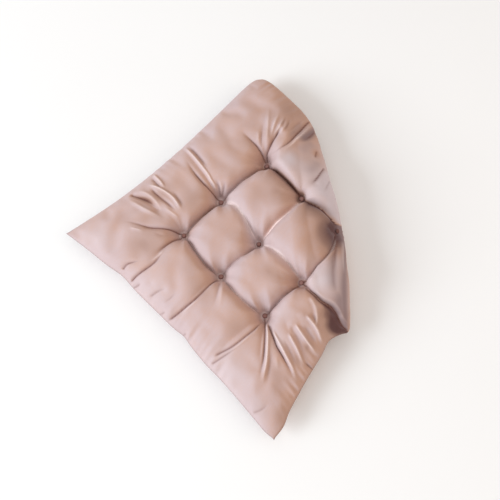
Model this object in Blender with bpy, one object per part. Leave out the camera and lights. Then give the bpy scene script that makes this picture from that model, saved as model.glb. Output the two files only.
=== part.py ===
"""A square knife-edge chair cushion, tufted three by three.

It lies on its back with one corner turned under itself, so that side is propped up and rolls over.
Metres, +Z up. Pattern coordinates (s, t) run from -HALF to HALF over the cut cloth.
Tables marked mm hold millimetres.
"""

import bmesh
import bpy
import numpy as np
from mathutils import Matrix, Vector

MM = 0.001

# Overall sizes
HALF = 0.200
SEAM_HEIGHT = 0.024
MIDDLE_X = 0.0040
MIDDLE_Y = -0.0046
CROWN = 0.045
BELLY = 0.042
PUFF_FLATNESS = 2.4
PUFF_ROUNDNESS = 0.55

# Tufts: column and row on an even grid, and how far each is pulled off it in mm
TUFT_STEP = 0.0860
TUFTS = {
    "a": {"column": -1, "row": 1, "shift_x": 12.6, "shift_y": 3.7},
    "b": {"column": -1, "row": 0, "shift_x": 1.5, "shift_y": -5.6},
    "c": {"column": -1, "row": -1, "shift_x": 0.9, "shift_y": 1.2},
    "d": {"column": 0, "row": 0, "shift_x": 9.3, "shift_y": -10.4},
    "e": {"column": 0, "row": -1, "shift_x": 1.4, "shift_y": -4.8},
    "f": {"column": 0, "row": 1, "shift_x": 11.5, "shift_y": 2.4},
    "g": {"column": 1, "row": 1, "shift_x": -6.0, "shift_y": 3.0},
    "h": {"column": 1, "row": 0, "shift_x": 19.6, "shift_y": -6.2},
    "i": {"column": 1, "row": -1, "shift_x": 4.8, "shift_y": 2.6},
}
SHIFT_REACH = 0.050
TUFT_DEPTH = 0.80
TUFT_FLAT = 0.0090
TUFT_REACH = 0.018

# Channels pinched between neighbouring tufts: sideways bow in mm, and depth at the middle
# as a share of the loft
CHANNEL_COLUMNS = ("start", "end", "bow", "middle")
CHANNELS = (
    ("c", "b", 6.2, 0.62),
    ("b", "a", 9.5, 0.62),
    ("e", "d", 6.3, 0.50),
    ("d", "f", -2.0, 0.42),
    ("i", "h", 0.0, 0.60),
    ("h", "g", -4.0, 0.55),
    ("c", "e", -3.5, 0.55),
    ("e", "i", -8.5, 0.52),
    ("b", "d", 10.0, 0.42),
    ("d", "h", 9.0, 0.46),
    ("a", "f", 4.5, 0.62),
    ("f", "g", 6.8, 0.70),
)
CHANNEL_DEPTH_ENDS = 0.80
CHANNEL_WIDTH = 0.0105

# Plan of the four corners, and how far the cloth is rounded off there
CORNERS = {
    "left": {"x": -0.2160, "y": -0.2030, "rounded": 0.000},
    "bottom": {"x": 0.2240, "y": -0.1950, "rounded": 0.000},
    "top": {"x": -0.2080, "y": 0.2000, "rounded": 0.0185},
    "right": {"x": 0.2100, "y": 0.1900, "rounded": 0.000},
}
CORNER_REACH = 0.0215

# Local pulls on the plan, mm: where on the pattern, how far, and how wide
PULL_COLUMNS = ("s", "t", "shift_x", "shift_y", "reach")
PULLS = (
    (200, 18, 14, -9, 26),
)

# Fuller and flatter stretches of the roll: how far aside in mm, height in mm, and reach in mm
SWELL_COLUMNS = ("aside", "height", "reach")
SWELLS = (
    (-5, 2.5, 25),
    (85, -4.5, 38),
)

# Sides drawn in between the corners: how far, and how much more towards the far end
SIDES = {
    "left": {"drawn_in": 0.0165, "skew": -0.40},
    "low": {"drawn_in": 0.0128, "skew": -0.10},
    "right": {"drawn_in": 0.0362, "skew": 0.1},
    "high": {"drawn_in": 0.0035, "skew": 0.0},
}

# The turned-under corner, measured along the direction that points at it
TURN_DIRECTION = np.radians(53.6)
RAMP_START = -0.031
RAMP_LENGTH = 0.060
RAMP_SLOPE = np.radians(19.3)
ROLL_START = 0.0768
ROLL_RADIUS = 0.0200
ROLL_END = np.radians(-180.0)
ROLL_FLATTENED = 0.53
DENTS_END = 0.094
DENTS_EASE = 0.030
ROLL_SLOT = 0.0030
LAYER_GAP = 0.0015
LIFT_AT_ENDS = 0.48
LIFT_MIDDLE = 0.080
LIFT_END = 0.125
TUCK_MARGIN = 0.022
TUCK_EASE = 0.020

# Creases and ridges of the pulled cloth, mm on the pattern: depth is negative on a ridge
CREASE_COLUMNS = ("from_s", "from_t", "to_s", "to_t", "bow", "depth", "width")
CREASES = (
    (-86, -86, -130, -122, 3, 9.1, 7.0),
    (-86, -86, -80, -173, 0, 10.4, 7.0),
    (0, -86, -5, -189, 0, 11.7, 7.0),
    (86, -86, 71, -187, 0, 7.8, 6.0),
    (86, -86, 136, -151, 0, 11.7, 7.0),
    (102, -94, 142, -155, 0, -5.9, 6.0),
    (90, -87, 162, -108, 0, 9.1, 6.5),
    (126, -89, 184, -114, 0, -5.2, 6.0),
    (130, -70, 175, -88, 0, 6.5, 6.0),
    (138, -62, 192, -66, 0, -5.2, 6.5),
    (141, -39, 190, -50, 0, -6.5, 7.0),
    (135, -48, 180, -58, 0, 5.2, 6.0),
    (134, -7, 160, -27, 0, -4.5, 6.0),
    (86, 0, 199, 2, -3, 18.2, 9.0),
    (86, 0, 100, 53, 0, 3.9, 7.0),
    (94, 76, 150, 34, 0, 5.2, 7.0),
    (-86, 86, -98, 148, 2, 11.7, 7.0),
    (-75, 117, -79, 182, 0, -4.5, 7.0),
    (-92, 88, -143, 97, -2, 7.8, 7.0),
    (-96, 94, -114, 123, 0, 5.2, 6.0),
    (-1, 113, -11, 145, 0, 5.2, 6.0),
    (-30, 149, -38, 182, 0, 5.2, 6.0),
    (-86, 0, -190, 13, 0, 11.7, 7.5),
    (-118, 3, -188, 16, 0, -6.5, 6.0),
    (-92, 3, -113, 9, 0, 3.9, 6.0),
    (-138, -86, -182, -93, 0, 7.8, 7.0),
    (-110, -64, -178, -63, 0, -5.2, 7.0),
    (-61, -177, -70, -200, 0, 3.9, 6.0),
    (-40, -172, -50, -200, 0, 3.9, 6.0),
)

# Knots of the pattern grid on one half of a side
INNER_STEPS = 12
OUTER_STEPS = 15
SEAT = 0.0062
SEAT_FLAT = 0.0090
SEAT_EASE = 0.0060
RIM_BIAS = 1.7

# Buttons
BUTTON_RADIUS = 0.0048
BUTTON_DOME = 0.0024
BUTTON_EDGE = 0.0008
BUTTON_GAP = 0.0004
BUTTON_SIDES = 20
BUTTON_RINGS = 4

DUSTY_PINK = (0.62, 0.42, 0.37, 1.0)
BUTTON_PINK = (0.40, 0.24, 0.22, 1.0)


def clear_scene():
    for obj in list(bpy.data.objects):
        bpy.data.objects.remove(obj, do_unlink=True)


def smooth_step(value):
    value = np.clip(value, 0.0, 1.0)
    return value * value * (3.0 - 2.0 * value)


def corner(name):
    return np.array([CORNERS[name]["x"], CORNERS[name]["y"]])


def tuft_place(name):
    return TUFTS[name]["column"] * TUFT_STEP, TUFTS[name]["row"] * TUFT_STEP


def side_curve(start, end, inward, side, place):
    """Points on one drawn-in side, for places from -1 to 1 along it."""
    share = (place + 1.0) / 2.0
    bend = SIDES[side]["drawn_in"] * (1.0 - place**2) * (1.0 + SIDES[side]["skew"] * place)
    chord = np.outer(1.0 - share, corner(start)) + np.outer(share, corner(end))
    return chord + np.outer(bend, inward)


def plan_of(s, t):
    """Plan position of pattern points, before the corner is turned under."""
    u = s / HALF
    v = t / HALF
    across = (u + 1.0) / 2.0
    along = (v + 1.0) / 2.0
    left = side_curve("left", "top", (1.0, 0.0), "left", v)
    right = side_curve("bottom", "right", (-1.0, 0.0), "right", v)
    low = side_curve("left", "bottom", (0.0, 1.0), "low", u)
    high = side_curve("top", "right", (0.0, -1.0), "high", u)
    plan = left * (1.0 - across)[:, None] + right * across[:, None]
    plan += low * (1.0 - along)[:, None] + high * along[:, None]
    plan -= np.outer((1.0 - across) * (1.0 - along), corner("left"))
    plan -= np.outer(across * (1.0 - along), corner("bottom"))
    plan -= np.outer((1.0 - across) * along, corner("top"))
    plan -= np.outer(across * along, corner("right"))
    for name, tuft in TUFTS.items():
        tuft_s, tuft_t = tuft_place(name)
        away = np.hypot(s - tuft_s, t - tuft_t)
        pull = np.exp(-((away / SHIFT_REACH) ** 2))
        plan += np.outer(pull, (tuft["shift_x"] * MM, tuft["shift_y"] * MM))
    for row in PULLS:
        pull = dict(zip(PULL_COLUMNS, row))
        away = np.hypot(s - pull["s"] * MM, t - pull["t"] * MM)
        share = np.exp(-((away / (pull["reach"] * MM)) ** 2))
        plan += np.outer(share, (pull["shift_x"] * MM, pull["shift_y"] * MM))
    for name in CORNERS:
        away = plan - corner(name)
        reach = np.exp(-np.hypot(away[:, 0], away[:, 1]) / CORNER_REACH)
        inward = -corner(name) / np.linalg.norm(corner(name))
        plan += np.outer(CORNERS[name]["rounded"] * reach, inward)
    return plan


def distance_to_segment(s, t, start, end, bow=0.0):
    """Distance to a segment bowed sideways, and the share of the way along it."""
    run = np.subtract(end, start)
    length = np.hypot(run[0], run[1])
    ahead = ((s - start[0]) * run[0] + (t - start[1]) * run[1]) / length
    aside = ((t - start[1]) * run[0] - (s - start[0]) * run[1]) / length
    share = np.clip(ahead / length, 0.0, 1.0)
    aside = aside - bow * 4.0 * share * (1.0 - share)
    beyond = ahead - share * length
    return np.hypot(aside, beyond), share


def dents_of(s, t):
    """Share of the loft that the tufts and the channels take away."""
    total = np.zeros_like(s)
    for name in TUFTS:
        tuft_s, tuft_t = tuft_place(name)
        away = np.maximum(np.hypot(s - tuft_s, t - tuft_t) - TUFT_FLAT, 0.0)
        total += (TUFT_DEPTH * np.exp(-((away / TUFT_REACH) ** 1.2))) ** 6
    for row in CHANNELS:
        line = dict(zip(CHANNEL_COLUMNS, row))
        start = tuft_place(line["start"])
        end = tuft_place(line["end"])
        away, share = distance_to_segment(s, t, start, end, line["bow"] * MM)
        ends = np.abs(2.0 * share - 1.0) ** 1.5
        depth = line["middle"] + (CHANNEL_DEPTH_ENDS - line["middle"]) * ends
        total += (depth * np.exp(-((away / CHANNEL_WIDTH) ** 1.1))) ** 6
    return np.clip(total ** (1.0 / 6.0), 0.0, 0.86)


def creases_of(s, t):
    """Depth of the creases, in metres, at pattern points."""
    total = np.zeros_like(s)
    for row in CREASES:
        line = dict(zip(CREASE_COLUMNS, row))
        start = (line["from_s"] * MM, line["from_t"] * MM)
        end = (line["to_s"] * MM, line["to_t"] * MM)
        away, share = distance_to_segment(s, t, start, end, line["bow"] * MM)
        shape = np.exp(-((away / (line["width"] * MM)) ** 1.3))
        total += line["depth"] * MM * shape * (1.0 - share) ** 0.7
    return total


def puff_of(s, t):
    """Share of the full loft, from nothing on the rim to one in the middle."""
    across = np.clip(1.0 - np.abs(s / HALF) ** PUFF_FLATNESS, 0.0, 1.0)
    along = np.clip(1.0 - np.abs(t / HALF) ** PUFF_FLATNESS, 0.0, 1.0)
    return (across * along) ** PUFF_ROUNDNESS


def bend_table():
    """The middle of the cushion along the turn: length, reach, height and slope."""
    length = np.linspace(0.0, 0.50, 2501)
    step = length[1] - length[0]
    slope = np.interp(length, [0.0, RAMP_LENGTH], [0.0, RAMP_SLOPE])

    def walk(angle, part):
        middle = 0.5 * (angle[1:] + angle[:-1])
        return np.concatenate([[0.0], np.cumsum(part(middle) * step)])

    reach = walk(slope, np.cos) + RAMP_START
    start = np.interp(ROLL_START, reach, length)
    turned = (length - start) / ((RAMP_SLOPE - ROLL_END) * ROLL_RADIUS)
    slope = slope + (ROLL_END - RAMP_SLOPE) * np.clip(turned, 0.0, 1.0)
    reach = walk(slope, np.cos) + RAMP_START
    height = walk(slope, np.sin)
    return length, reach, height, slope


BEND = bend_table()
TOWARDS = np.array([np.cos(TURN_DIRECTION), np.sin(TURN_DIRECTION)])
SIDEWAYS = np.array([-TOWARDS[1], TOWARDS[0]])


def layer_room():
    """Half of the height between the two layers, at each place of the bend table."""
    length, reach, height, slope = BEND
    crest = int(np.argmax(reach))
    upper_height = np.interp(reach, reach[:crest], height[:crest])
    tucked_height = np.interp(reach, reach[crest:][::-1], height[crest:][::-1])
    room = (upper_height - tucked_height - LAYER_GAP) / 2.0
    rolling = (length > RAMP_LENGTH) & (slope < RAMP_SLOPE - 0.01) & (slope > ROLL_END + 0.01)
    room = np.where(rolling, ROLL_RADIUS - ROLL_SLOT, room)
    return np.clip(room, 0.001, ROLL_RADIUS - ROLL_SLOT)


def tucked_outline():
    """Reach of the tucked corner's two sewn sides, with how far aside each lies."""
    length, reach, _, _ = BEND
    place = np.linspace(-1.0, 1.0, 201)
    right = side_curve("bottom", "right", (-1.0, 0.0), "right", place)
    high = side_curve("top", "right", (0.0, -1.0), "high", place)
    crest_length = length[int(np.argmax(reach))]
    edges = []
    for points in (right, high):
        run = points @ TOWARDS - RAMP_START
        tucked = run > crest_length
        edge_reach = np.interp(run[tucked], length, reach)
        order = np.argsort(edge_reach)
        edges.append((edge_reach[order], (points[tucked] @ SIDEWAYS)[order]))
    return edges


ROOM = layer_room()
TUCKED_LOW, TUCKED_HIGH = tucked_outline()


def above_the_tuck(reach, aside):
    """Share by which a point of the upper layer lies over the tucked corner."""
    low = np.interp(reach, TUCKED_LOW[0], TUCKED_LOW[1])
    high = np.interp(reach, TUCKED_HIGH[0], TUCKED_HIGH[1])
    tip = TUCKED_LOW[0][0]
    share = smooth_step((reach - tip + TUCK_MARGIN) / TUCK_EASE)
    share = share * smooth_step((aside - low + TUCK_MARGIN) / TUCK_EASE)
    share = share * smooth_step((high + TUCK_MARGIN - aside) / TUCK_EASE)
    return np.where(reach > ROLL_START - TUCK_EASE, 1.0, share)


def bend(plan, offset):
    """Place plan points at an offset from the middle of the cushion, with the corner turned under."""
    length, reach, height, slope = BEND
    ahead = plan @ TOWARDS
    aside = plan @ SIDEWAYS
    run = np.clip(ahead - RAMP_START, 0.0, None)
    bent = ahead > RAMP_START
    lift = 1.0 - (1.0 - LIFT_AT_ENDS) * smooth_step(
        (np.abs(aside) - LIFT_MIDDLE) / (LIFT_END - LIFT_MIDDLE)
    )
    forward = np.where(bent, np.interp(run, length, reach), ahead)
    raised = np.where(bent, np.interp(run, length, height), 0.0) * lift
    angle = np.where(bent, np.interp(run, length, slope), 0.0)
    tangent_x = np.cos(angle)
    tangent_z = lift * np.sin(angle)
    size = np.hypot(tangent_x, tangent_z)
    normal_x = -tangent_z / size
    normal_z = tangent_x / size
    tucked = run > length[int(np.argmax(reach))]
    over = np.where(tucked, 1.0, above_the_tuck(forward, aside))
    room = BELLY + (np.interp(run, length, ROOM) * lift - BELLY) * over
    offset = np.maximum(offset, -room)
    forward = forward + normal_x * offset
    raised = SEAM_HEIGHT + raised + normal_z * offset
    points = np.outer(forward, TOWARDS) + np.outer(aside, SIDEWAYS)
    points = points - (MIDDLE_X, MIDDLE_Y)
    return np.column_stack([points, np.maximum(raised, 0.0)])


def over_the_roll(plan):
    """Share by which a plan point is on the roll or past it."""
    return smooth_step((plan @ TOWARDS - ROLL_START + 0.020) / 0.050)


def swell_of(plan):
    """Extra height along the roll, in metres."""
    total = np.zeros(len(plan))
    for row in SWELLS:
        swell = dict(zip(SWELL_COLUMNS, row))
        away = plan @ SIDEWAYS - swell["aside"] * MM
        total += swell["height"] * MM * np.exp(-((away / (swell["reach"] * MM)) ** 2))
    return total


def soft_surface(s, t):
    """The face of the cushion before the buttons flatten it."""
    plan = plan_of(s, t)
    roll = over_the_roll(plan)
    loft = CROWN * (1.0 - ROLL_FLATTENED * roll) + swell_of(plan) * roll
    loft = loft * puff_of(s, t)
    dented = 1.0 - 0.9 * smooth_step((plan @ TOWARDS - DENTS_END) / DENTS_EASE)
    offset = loft * (1.0 - dents_of(s, t) * dented)
    offset -= creases_of(s, t) * np.clip(loft / 0.020, 0.0, 1.0)
    return bend(plan, np.maximum(offset, 0.15 * loft))


def seat_of(name):
    """Middle and axis of the flat seat that a button sits on."""
    s, t = tuft_place(name)
    near = np.array([-SEAT, 0.0, SEAT])
    seat_s, seat_t = np.meshgrid(s + near, t + near, indexing="ij")
    points = soft_surface(seat_s.ravel(), seat_t.ravel()).reshape(3, 3, 3)
    along_s = (points[2] - points[0]).sum(axis=0)
    along_t = (points[:, 2] - points[:, 0]).sum(axis=0)
    axis = np.cross(along_s, along_t)
    return points.reshape(9, 3).mean(axis=0), axis / np.linalg.norm(axis)


SEATS = {name: seat_of(name) for name in TUFTS}


def upper_surface(s, t):
    """The face of the cushion, flat where a button sits."""
    points = soft_surface(s, t)
    for name, (middle, axis) in SEATS.items():
        tuft_s, tuft_t = tuft_place(name)
        away = np.hypot(s - tuft_s, t - tuft_t)
        share = smooth_step((SEAT_FLAT + SEAT_EASE - away) / SEAT_EASE)
        above = (points - middle) @ axis
        points = points - np.outer(above * share, axis)
    return points


def under_surface(s, t):
    """The back of the cushion, which lies on the floor."""
    plan = plan_of(s, t)
    offset = BELLY * puff_of(s, t) * (1.0 - 0.8 * dents_of(s, t))
    return bend(plan, -offset)


def half_knots():
    """Pattern positions from the middle tuft to the rim, with a flat seat at each tuft."""
    inner = np.linspace(SEAT, TUFT_STEP - SEAT, INNER_STEPS)
    share = np.linspace(0.0, 1.0, OUTER_STEPS)
    share = 1.0 - (1.0 - share) ** RIM_BIAS
    outer = TUFT_STEP + SEAT + (HALF - TUFT_STEP - SEAT) * share
    return np.concatenate([[0.0], inner, [TUFT_STEP], outer])


def knots():
    half = half_knots()
    return np.concatenate([-half[:0:-1], half])


def grid_points(positions, surface):
    s, t = np.meshgrid(positions, positions, indexing="ij")
    return surface(s.ravel(), t.ravel()).reshape(len(positions), len(positions), 3)


def make_object(name, verts, faces, color, roughness):
    mesh = bpy.data.meshes.new(name)
    mesh.from_pydata([tuple(v) for v in verts], [], faces)
    mesh.update()
    tidy = bmesh.new()
    tidy.from_mesh(mesh)
    bmesh.ops.triangulate(tidy, faces=tidy.faces)
    bmesh.ops.recalc_face_normals(tidy, faces=tidy.faces)
    tidy.to_mesh(mesh)
    tidy.free()
    obj = bpy.data.objects.new(name, mesh)
    bpy.context.scene.collection.objects.link(obj)
    material = bpy.data.materials.new(name)
    material.use_nodes = True
    shader = material.node_tree.nodes["Principled BSDF"]
    shader.inputs["Base Color"].default_value = color
    shader.inputs["Roughness"].default_value = roughness
    mesh.materials.append(material)
    return obj


def make_cushion():
    """One filled solid: a fine upper sheet and a coarser under sheet that share the rim."""
    positions = knots()
    upper = grid_points(positions, upper_surface)
    under = grid_points(positions, under_surface)
    last = len(positions) - 1
    verts = []
    upper_index = {}
    for i in range(last + 1):
        for j in range(last + 1):
            upper_index[i, j] = len(verts)
            verts.append(upper[i, j])
    under_index = {}
    for i in range(0, last + 1, 2):
        for j in range(0, last + 1, 2):
            if i in (0, last) or j in (0, last):
                under_index[i, j] = upper_index[i, j]
            else:
                under_index[i, j] = len(verts)
                verts.append(under[i, j])
    faces = []
    for i in range(last):
        for j in range(last):
            corners = ((i, j), (i + 1, j), (i + 1, j + 1), (i, j + 1))
            faces.append([upper_index[c] for c in corners])
    for i in range(0, last, 2):
        for j in range(0, last, 2):
            ring = [under_index[i, j]]
            if i == 0:
                ring.append(upper_index[i, j + 1])
            ring.append(under_index[i, j + 2])
            if j + 2 == last:
                ring.append(upper_index[i + 1, j + 2])
            ring.append(under_index[i + 2, j + 2])
            if i + 2 == last:
                ring.append(upper_index[i + 2, j + 1])
            ring.append(under_index[i + 2, j])
            if j == 0:
                ring.append(upper_index[i + 1, j])
            faces.append(ring)
    return make_object("cushion", verts, faces, DUSTY_PINK, 0.85)


def button_mesh():
    """A domed disc on its own axis, base at zero."""
    rings = [(BUTTON_RADIUS * 0.86, 0.0), (BUTTON_RADIUS, BUTTON_EDGE * 0.5)]
    for ring in range(BUTTON_RINGS):
        angle = np.pi / 2.0 * ring / BUTTON_RINGS
        rings.append(
            (BUTTON_RADIUS * np.cos(angle), BUTTON_EDGE + BUTTON_DOME * np.sin(angle))
        )
    verts = []
    for radius, height in rings:
        for side in range(BUTTON_SIDES):
            angle = 2.0 * np.pi * side / BUTTON_SIDES
            verts.append((radius * np.cos(angle), radius * np.sin(angle), height))
    faces = [list(range(BUTTON_SIDES))[::-1]]
    for ring in range(len(rings) - 1):
        for side in range(BUTTON_SIDES):
            after = (side + 1) % BUTTON_SIDES
            low = ring * BUTTON_SIDES
            high = low + BUTTON_SIDES
            faces.append([low + side, low + after, high + after, high + side])
    top = len(verts)
    verts.append((0.0, 0.0, BUTTON_EDGE + BUTTON_DOME))
    last_ring = (len(rings) - 1) * BUTTON_SIDES
    for side in range(BUTTON_SIDES):
        faces.append([last_ring + side, last_ring + (side + 1) % BUTTON_SIDES, top])
    return verts, faces


def make_button(name):
    """A button that sits just clear of the flat seat in its tuft."""
    middle, axis = SEATS[name]
    turn = Vector(axis).to_track_quat("Z", "Y").to_matrix().to_4x4()
    place = Matrix.Translation(Vector(middle + axis * BUTTON_GAP)) @ turn
    verts, faces = button_mesh()
    placed = [place @ Vector(v) for v in verts]
    return make_object("button_" + name, placed, faces, BUTTON_PINK, 0.7)


clear_scene()
make_cushion()
for tuft_name in TUFTS:
    make_button(tuft_name)
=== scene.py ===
"""The looks of the tufted chair cushion: a velvet cover with its folds, and nine covered buttons.

The large forms repeat part.py's formulas and values, on a much finer grid. Metres, +Z up.
Pattern coordinates (s, t) run from -HALF to HALF over the cut cloth. Tables marked mm hold
millimetres. EASE in a name is how far something takes to come in or go out, LOFT is the loft
from which it has its full size, and POWER is an exponent.
"""

import bpy
import numpy as np
from mathutils import Matrix, Vector


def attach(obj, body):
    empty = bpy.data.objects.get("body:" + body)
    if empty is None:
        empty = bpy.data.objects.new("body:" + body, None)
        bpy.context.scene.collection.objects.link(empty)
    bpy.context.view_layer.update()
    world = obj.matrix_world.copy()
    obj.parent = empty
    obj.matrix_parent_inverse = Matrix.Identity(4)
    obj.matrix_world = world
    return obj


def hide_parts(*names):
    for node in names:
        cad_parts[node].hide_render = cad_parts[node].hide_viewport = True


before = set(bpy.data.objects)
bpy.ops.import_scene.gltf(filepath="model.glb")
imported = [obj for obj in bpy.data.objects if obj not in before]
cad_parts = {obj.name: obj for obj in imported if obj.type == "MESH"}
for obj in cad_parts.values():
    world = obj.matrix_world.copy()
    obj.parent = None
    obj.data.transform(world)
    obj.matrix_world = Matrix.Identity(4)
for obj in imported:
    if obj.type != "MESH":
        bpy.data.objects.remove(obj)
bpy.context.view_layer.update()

MM = 0.001

# Overall sizes
HALF = 0.200
SEAM_HEIGHT = 0.024
MIDDLE_X = 0.0040
MIDDLE_Y = -0.0046
CROWN = 0.045
BELLY = 0.042
PUFF_FLATNESS = 2.4
PUFF_ROUNDNESS = 0.55

# Tufts: column and row on an even grid, and how far each is pulled off it in mm
TUFT_STEP = 0.0860
TUFTS = {
    "a": {"column": -1, "row": 1, "shift_x": 12.6, "shift_y": 3.7},
    "b": {"column": -1, "row": 0, "shift_x": 1.5, "shift_y": -5.6},
    "c": {"column": -1, "row": -1, "shift_x": 0.9, "shift_y": 1.2},
    "d": {"column": 0, "row": 0, "shift_x": 9.3, "shift_y": -10.4},
    "e": {"column": 0, "row": -1, "shift_x": 1.4, "shift_y": -4.8},
    "f": {"column": 0, "row": 1, "shift_x": 11.5, "shift_y": 2.4},
    "g": {"column": 1, "row": 1, "shift_x": -6.0, "shift_y": 3.0},
    "h": {"column": 1, "row": 0, "shift_x": 19.6, "shift_y": -6.2},
    "i": {"column": 1, "row": -1, "shift_x": 4.8, "shift_y": 2.6},
}
SHIFT_REACH = 0.050

# A tuft's dent: its depth as a share of the loft, its flat middle, and how far it reaches
TUFT_DEPTH = 0.80
TUFT_FLAT = 0.0090
TUFT_REACH = 0.018
TUFT_POWER = 1.2

# Channels pinched between neighbouring tufts: sideways bow in mm and depth at the middle as a share
# of the loft. For the fine relief also: the traced bow, its skew towards the end and its depth, the
# share of the narrow pinch at its bottom, which is painted with shade too, and the height in mm of a
# fold along it, which is painted with a highlight too.
CHANNEL_COLUMNS = (
    "start", "end", "bow", "middle", "fine_bow", "skew", "fine_middle", "slot", "ridge",
)
CHANNELS = (
    ("c", "b", 6.2, 0.62, -1.5, 0.5, 0.54, 0.50, 0.0),
    ("b", "a", 9.5, 0.62, -0.4, 0.8, 0.42, 0.48, 0.0),
    ("e", "d", 6.3, 0.50, -3.0, 0.8, 0.33, 0.35, 0.0),
    ("d", "f", -2.0, 0.42, -9.0, 0.5, 0.38, 0.0, 1.2),
    ("i", "h", 0.0, 0.60, -3.4, -0.8, 0.50, 0.55, 0.0),
    ("h", "g", -4.0, 0.55, -15.0, 0.0, 0.50, 0.60, 0.0),
    ("c", "e", -3.5, 0.55, -8.0, 0.5, 0.46, 0.25, 0.0),
    ("e", "i", -8.5, 0.52, -9.6, 0.5, 0.34, 0.10, 0.5),
    ("b", "d", 10.0, 0.42, 6.0, -0.5, 0.24, 0.0, 1.2),
    ("d", "h", 9.0, 0.46, 9.5, 0.0, 0.35, 0.10, 1.1),
    ("a", "f", 4.5, 0.62, 4.6, 0.0, 0.60, 0.80, 0.0),
    ("f", "g", 6.8, 0.70, 7.8, 0.6, 0.66, 0.0, 0.0),
)
CHANNEL_DEPTH_ENDS = 0.80
CHANNEL_WIDTH = 0.0105
CHANNEL_POWER = 1.1
CHANNEL_ENDS_POWER = 1.5

# How sharply the dents join where they meet, and the largest share of the loft that they take
DENT_BLEND = 6
DENT_LIMIT = 0.86

# Plan of the four corners, and how far the cloth is rounded off there
CORNERS = {
    "left": {"x": -0.2160, "y": -0.2030, "rounded": 0.000},
    "bottom": {"x": 0.2240, "y": -0.1950, "rounded": 0.000},
    "top": {"x": -0.2080, "y": 0.2000, "rounded": 0.0185},
    "right": {"x": 0.2100, "y": 0.1900, "rounded": 0.000},
}
CORNER_REACH = 0.0215

# Local pulls on the plan, mm: where on the pattern, how far, and how wide
PULL_COLUMNS = ("s", "t", "shift_x", "shift_y", "reach")
PULLS = (
    (200, 18, 14, -9, 26),
    (-200, -200, 2.0, -1.0, 30),
    (200, -200, -3.5, 3.5, 13),
    (200, -172, 2.0, 0.5, 14),
    (-98, -200, 0.0, 3.5, 20),
    (20, -200, 0.0, 2.8, 13),
    (66, -200, 0.0, -1.6, 20),
    (200, -36, -4.0, 0.0, 16),
)

# Fuller and flatter stretches of the roll: how far aside in mm, height in mm, and reach in mm
SWELL_COLUMNS = ("aside", "height", "reach")
SWELLS = (
    (-5, 2.5, 25),
    (85, -4.5, 38),
    (135, -2.0, 20),
)

# Sides between two corners: which way is inward, how far it is drawn in, and how much more
# towards its end
SIDE_COLUMNS = ("start", "end", "inward", "drawn_in", "skew")
SIDES = {
    "left": ("left", "top", (1.0, 0.0), 0.0165, -0.40),
    "low": ("left", "bottom", (0.0, 1.0), 0.0128, -0.10),
    "right": ("bottom", "right", (-1.0, 0.0), 0.0362, 0.1),
    "high": ("top", "right", (0.0, -1.0), 0.0035, 0.0),
}

# The turned-under corner, measured along the direction that points at it
TURN_DIRECTION = np.radians(53.6)
RAMP_START = -0.031
RAMP_LENGTH = 0.060
RAMP_SLOPE = np.radians(19.3)
ROLL_START = 0.0768
ROLL_RADIUS = 0.0200
ROLL_END = np.radians(-180.0)
ROLL_FLATTENED = 0.53
ROLL_EASE_IN = 0.020
ROLL_EASE = 0.050
DENTS_END = 0.094
DENTS_EASE = 0.030
DENTS_LOST = 0.9
ROLL_SLOT = 0.0030
LAYER_GAP = 0.0015
LIFT_AT_ENDS = 0.48
LIFT_MIDDLE = 0.080
LIFT_END = 0.125
TUCK_MARGIN = 0.022
TUCK_EASE = 0.020
LEAST_ROOM = 0.001

# Length and steps over which the turn is worked out, how far from a straight part the slope has
# to be to count as turning, and points on each outline of the tucked corner
BEND_LENGTH = 0.50
BEND_POINTS = 2501
SLOPE_MARGIN = 0.01
OUTLINE_POINTS = 201

# Large creases and ridges of the pulled cloth, mm on the pattern: depth is negative on a ridge.
# The last column is the share kept under the finer folds.
CREASE_COLUMNS = ("from_s", "from_t", "to_s", "to_t", "bow", "depth", "width", "kept")
CREASES = (
    (-86, -86, -130, -122, 3, 9.1, 7.0, 0.6),
    (-86, -86, -80, -173, 0, 10.4, 7.0, 0.6),
    (0, -86, -5, -189, 0, 11.7, 7.0, 0.6),
    (86, -86, 71, -187, 0, 7.8, 6.0, 0.6),
    (86, -86, 136, -151, 0, 11.7, 7.0, 0.6),
    (102, -94, 142, -155, 0, -5.9, 6.0, 0.15),
    (90, -87, 162, -108, 0, 9.1, 6.5, 0.45),
    (126, -89, 184, -114, 0, -5.2, 6.0, 0.1),
    (130, -70, 175, -88, 0, 6.5, 6.0, 0.15),
    (138, -62, 192, -66, 0, -5.2, 6.5, 0.1),
    (141, -39, 190, -50, 0, -6.5, 7.0, 0.15),
    (135, -48, 180, -58, 0, 5.2, 6.0, 0.15),
    (134, -7, 160, -27, 0, -4.5, 6.0, 0.2),
    (86, 0, 199, 2, -3, 18.2, 9.0, 0.62),
    (86, 0, 100, 53, 0, 3.9, 7.0, 0.62),
    (94, 76, 150, 34, 0, 5.2, 7.0, 0.6),
    (-86, 86, -98, 148, 2, 11.7, 7.0, 0.6),
    (-75, 117, -79, 182, 0, -4.5, 7.0, 0.3),
    (-92, 88, -143, 97, -2, 7.8, 7.0, 0.6),
    (-96, 94, -114, 123, 0, 5.2, 6.0, 0.6),
    (-1, 113, -11, 145, 0, 5.2, 6.0, 0.6),
    (-30, 149, -38, 182, 0, 5.2, 6.0, 0.6),
    (-86, 0, -190, 13, 0, 11.7, 7.5, 0.6),
    (-118, 3, -188, 16, 0, -6.5, 6.0, 0.2),
    (-92, 3, -113, 9, 0, 3.9, 6.0, 0.6),
    (-138, -86, -182, -93, 0, 7.8, 7.0, 0.6),
    (-110, -64, -178, -63, 0, -5.2, 7.0, 0.15),
    (-61, -177, -70, -200, 0, 3.9, 6.0, 0.6),
    (-40, -172, -50, -200, 0, 3.9, 6.0, 0.6),
)
CREASE_POWER = 1.3
CREASE_TAPER = 0.7

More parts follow.
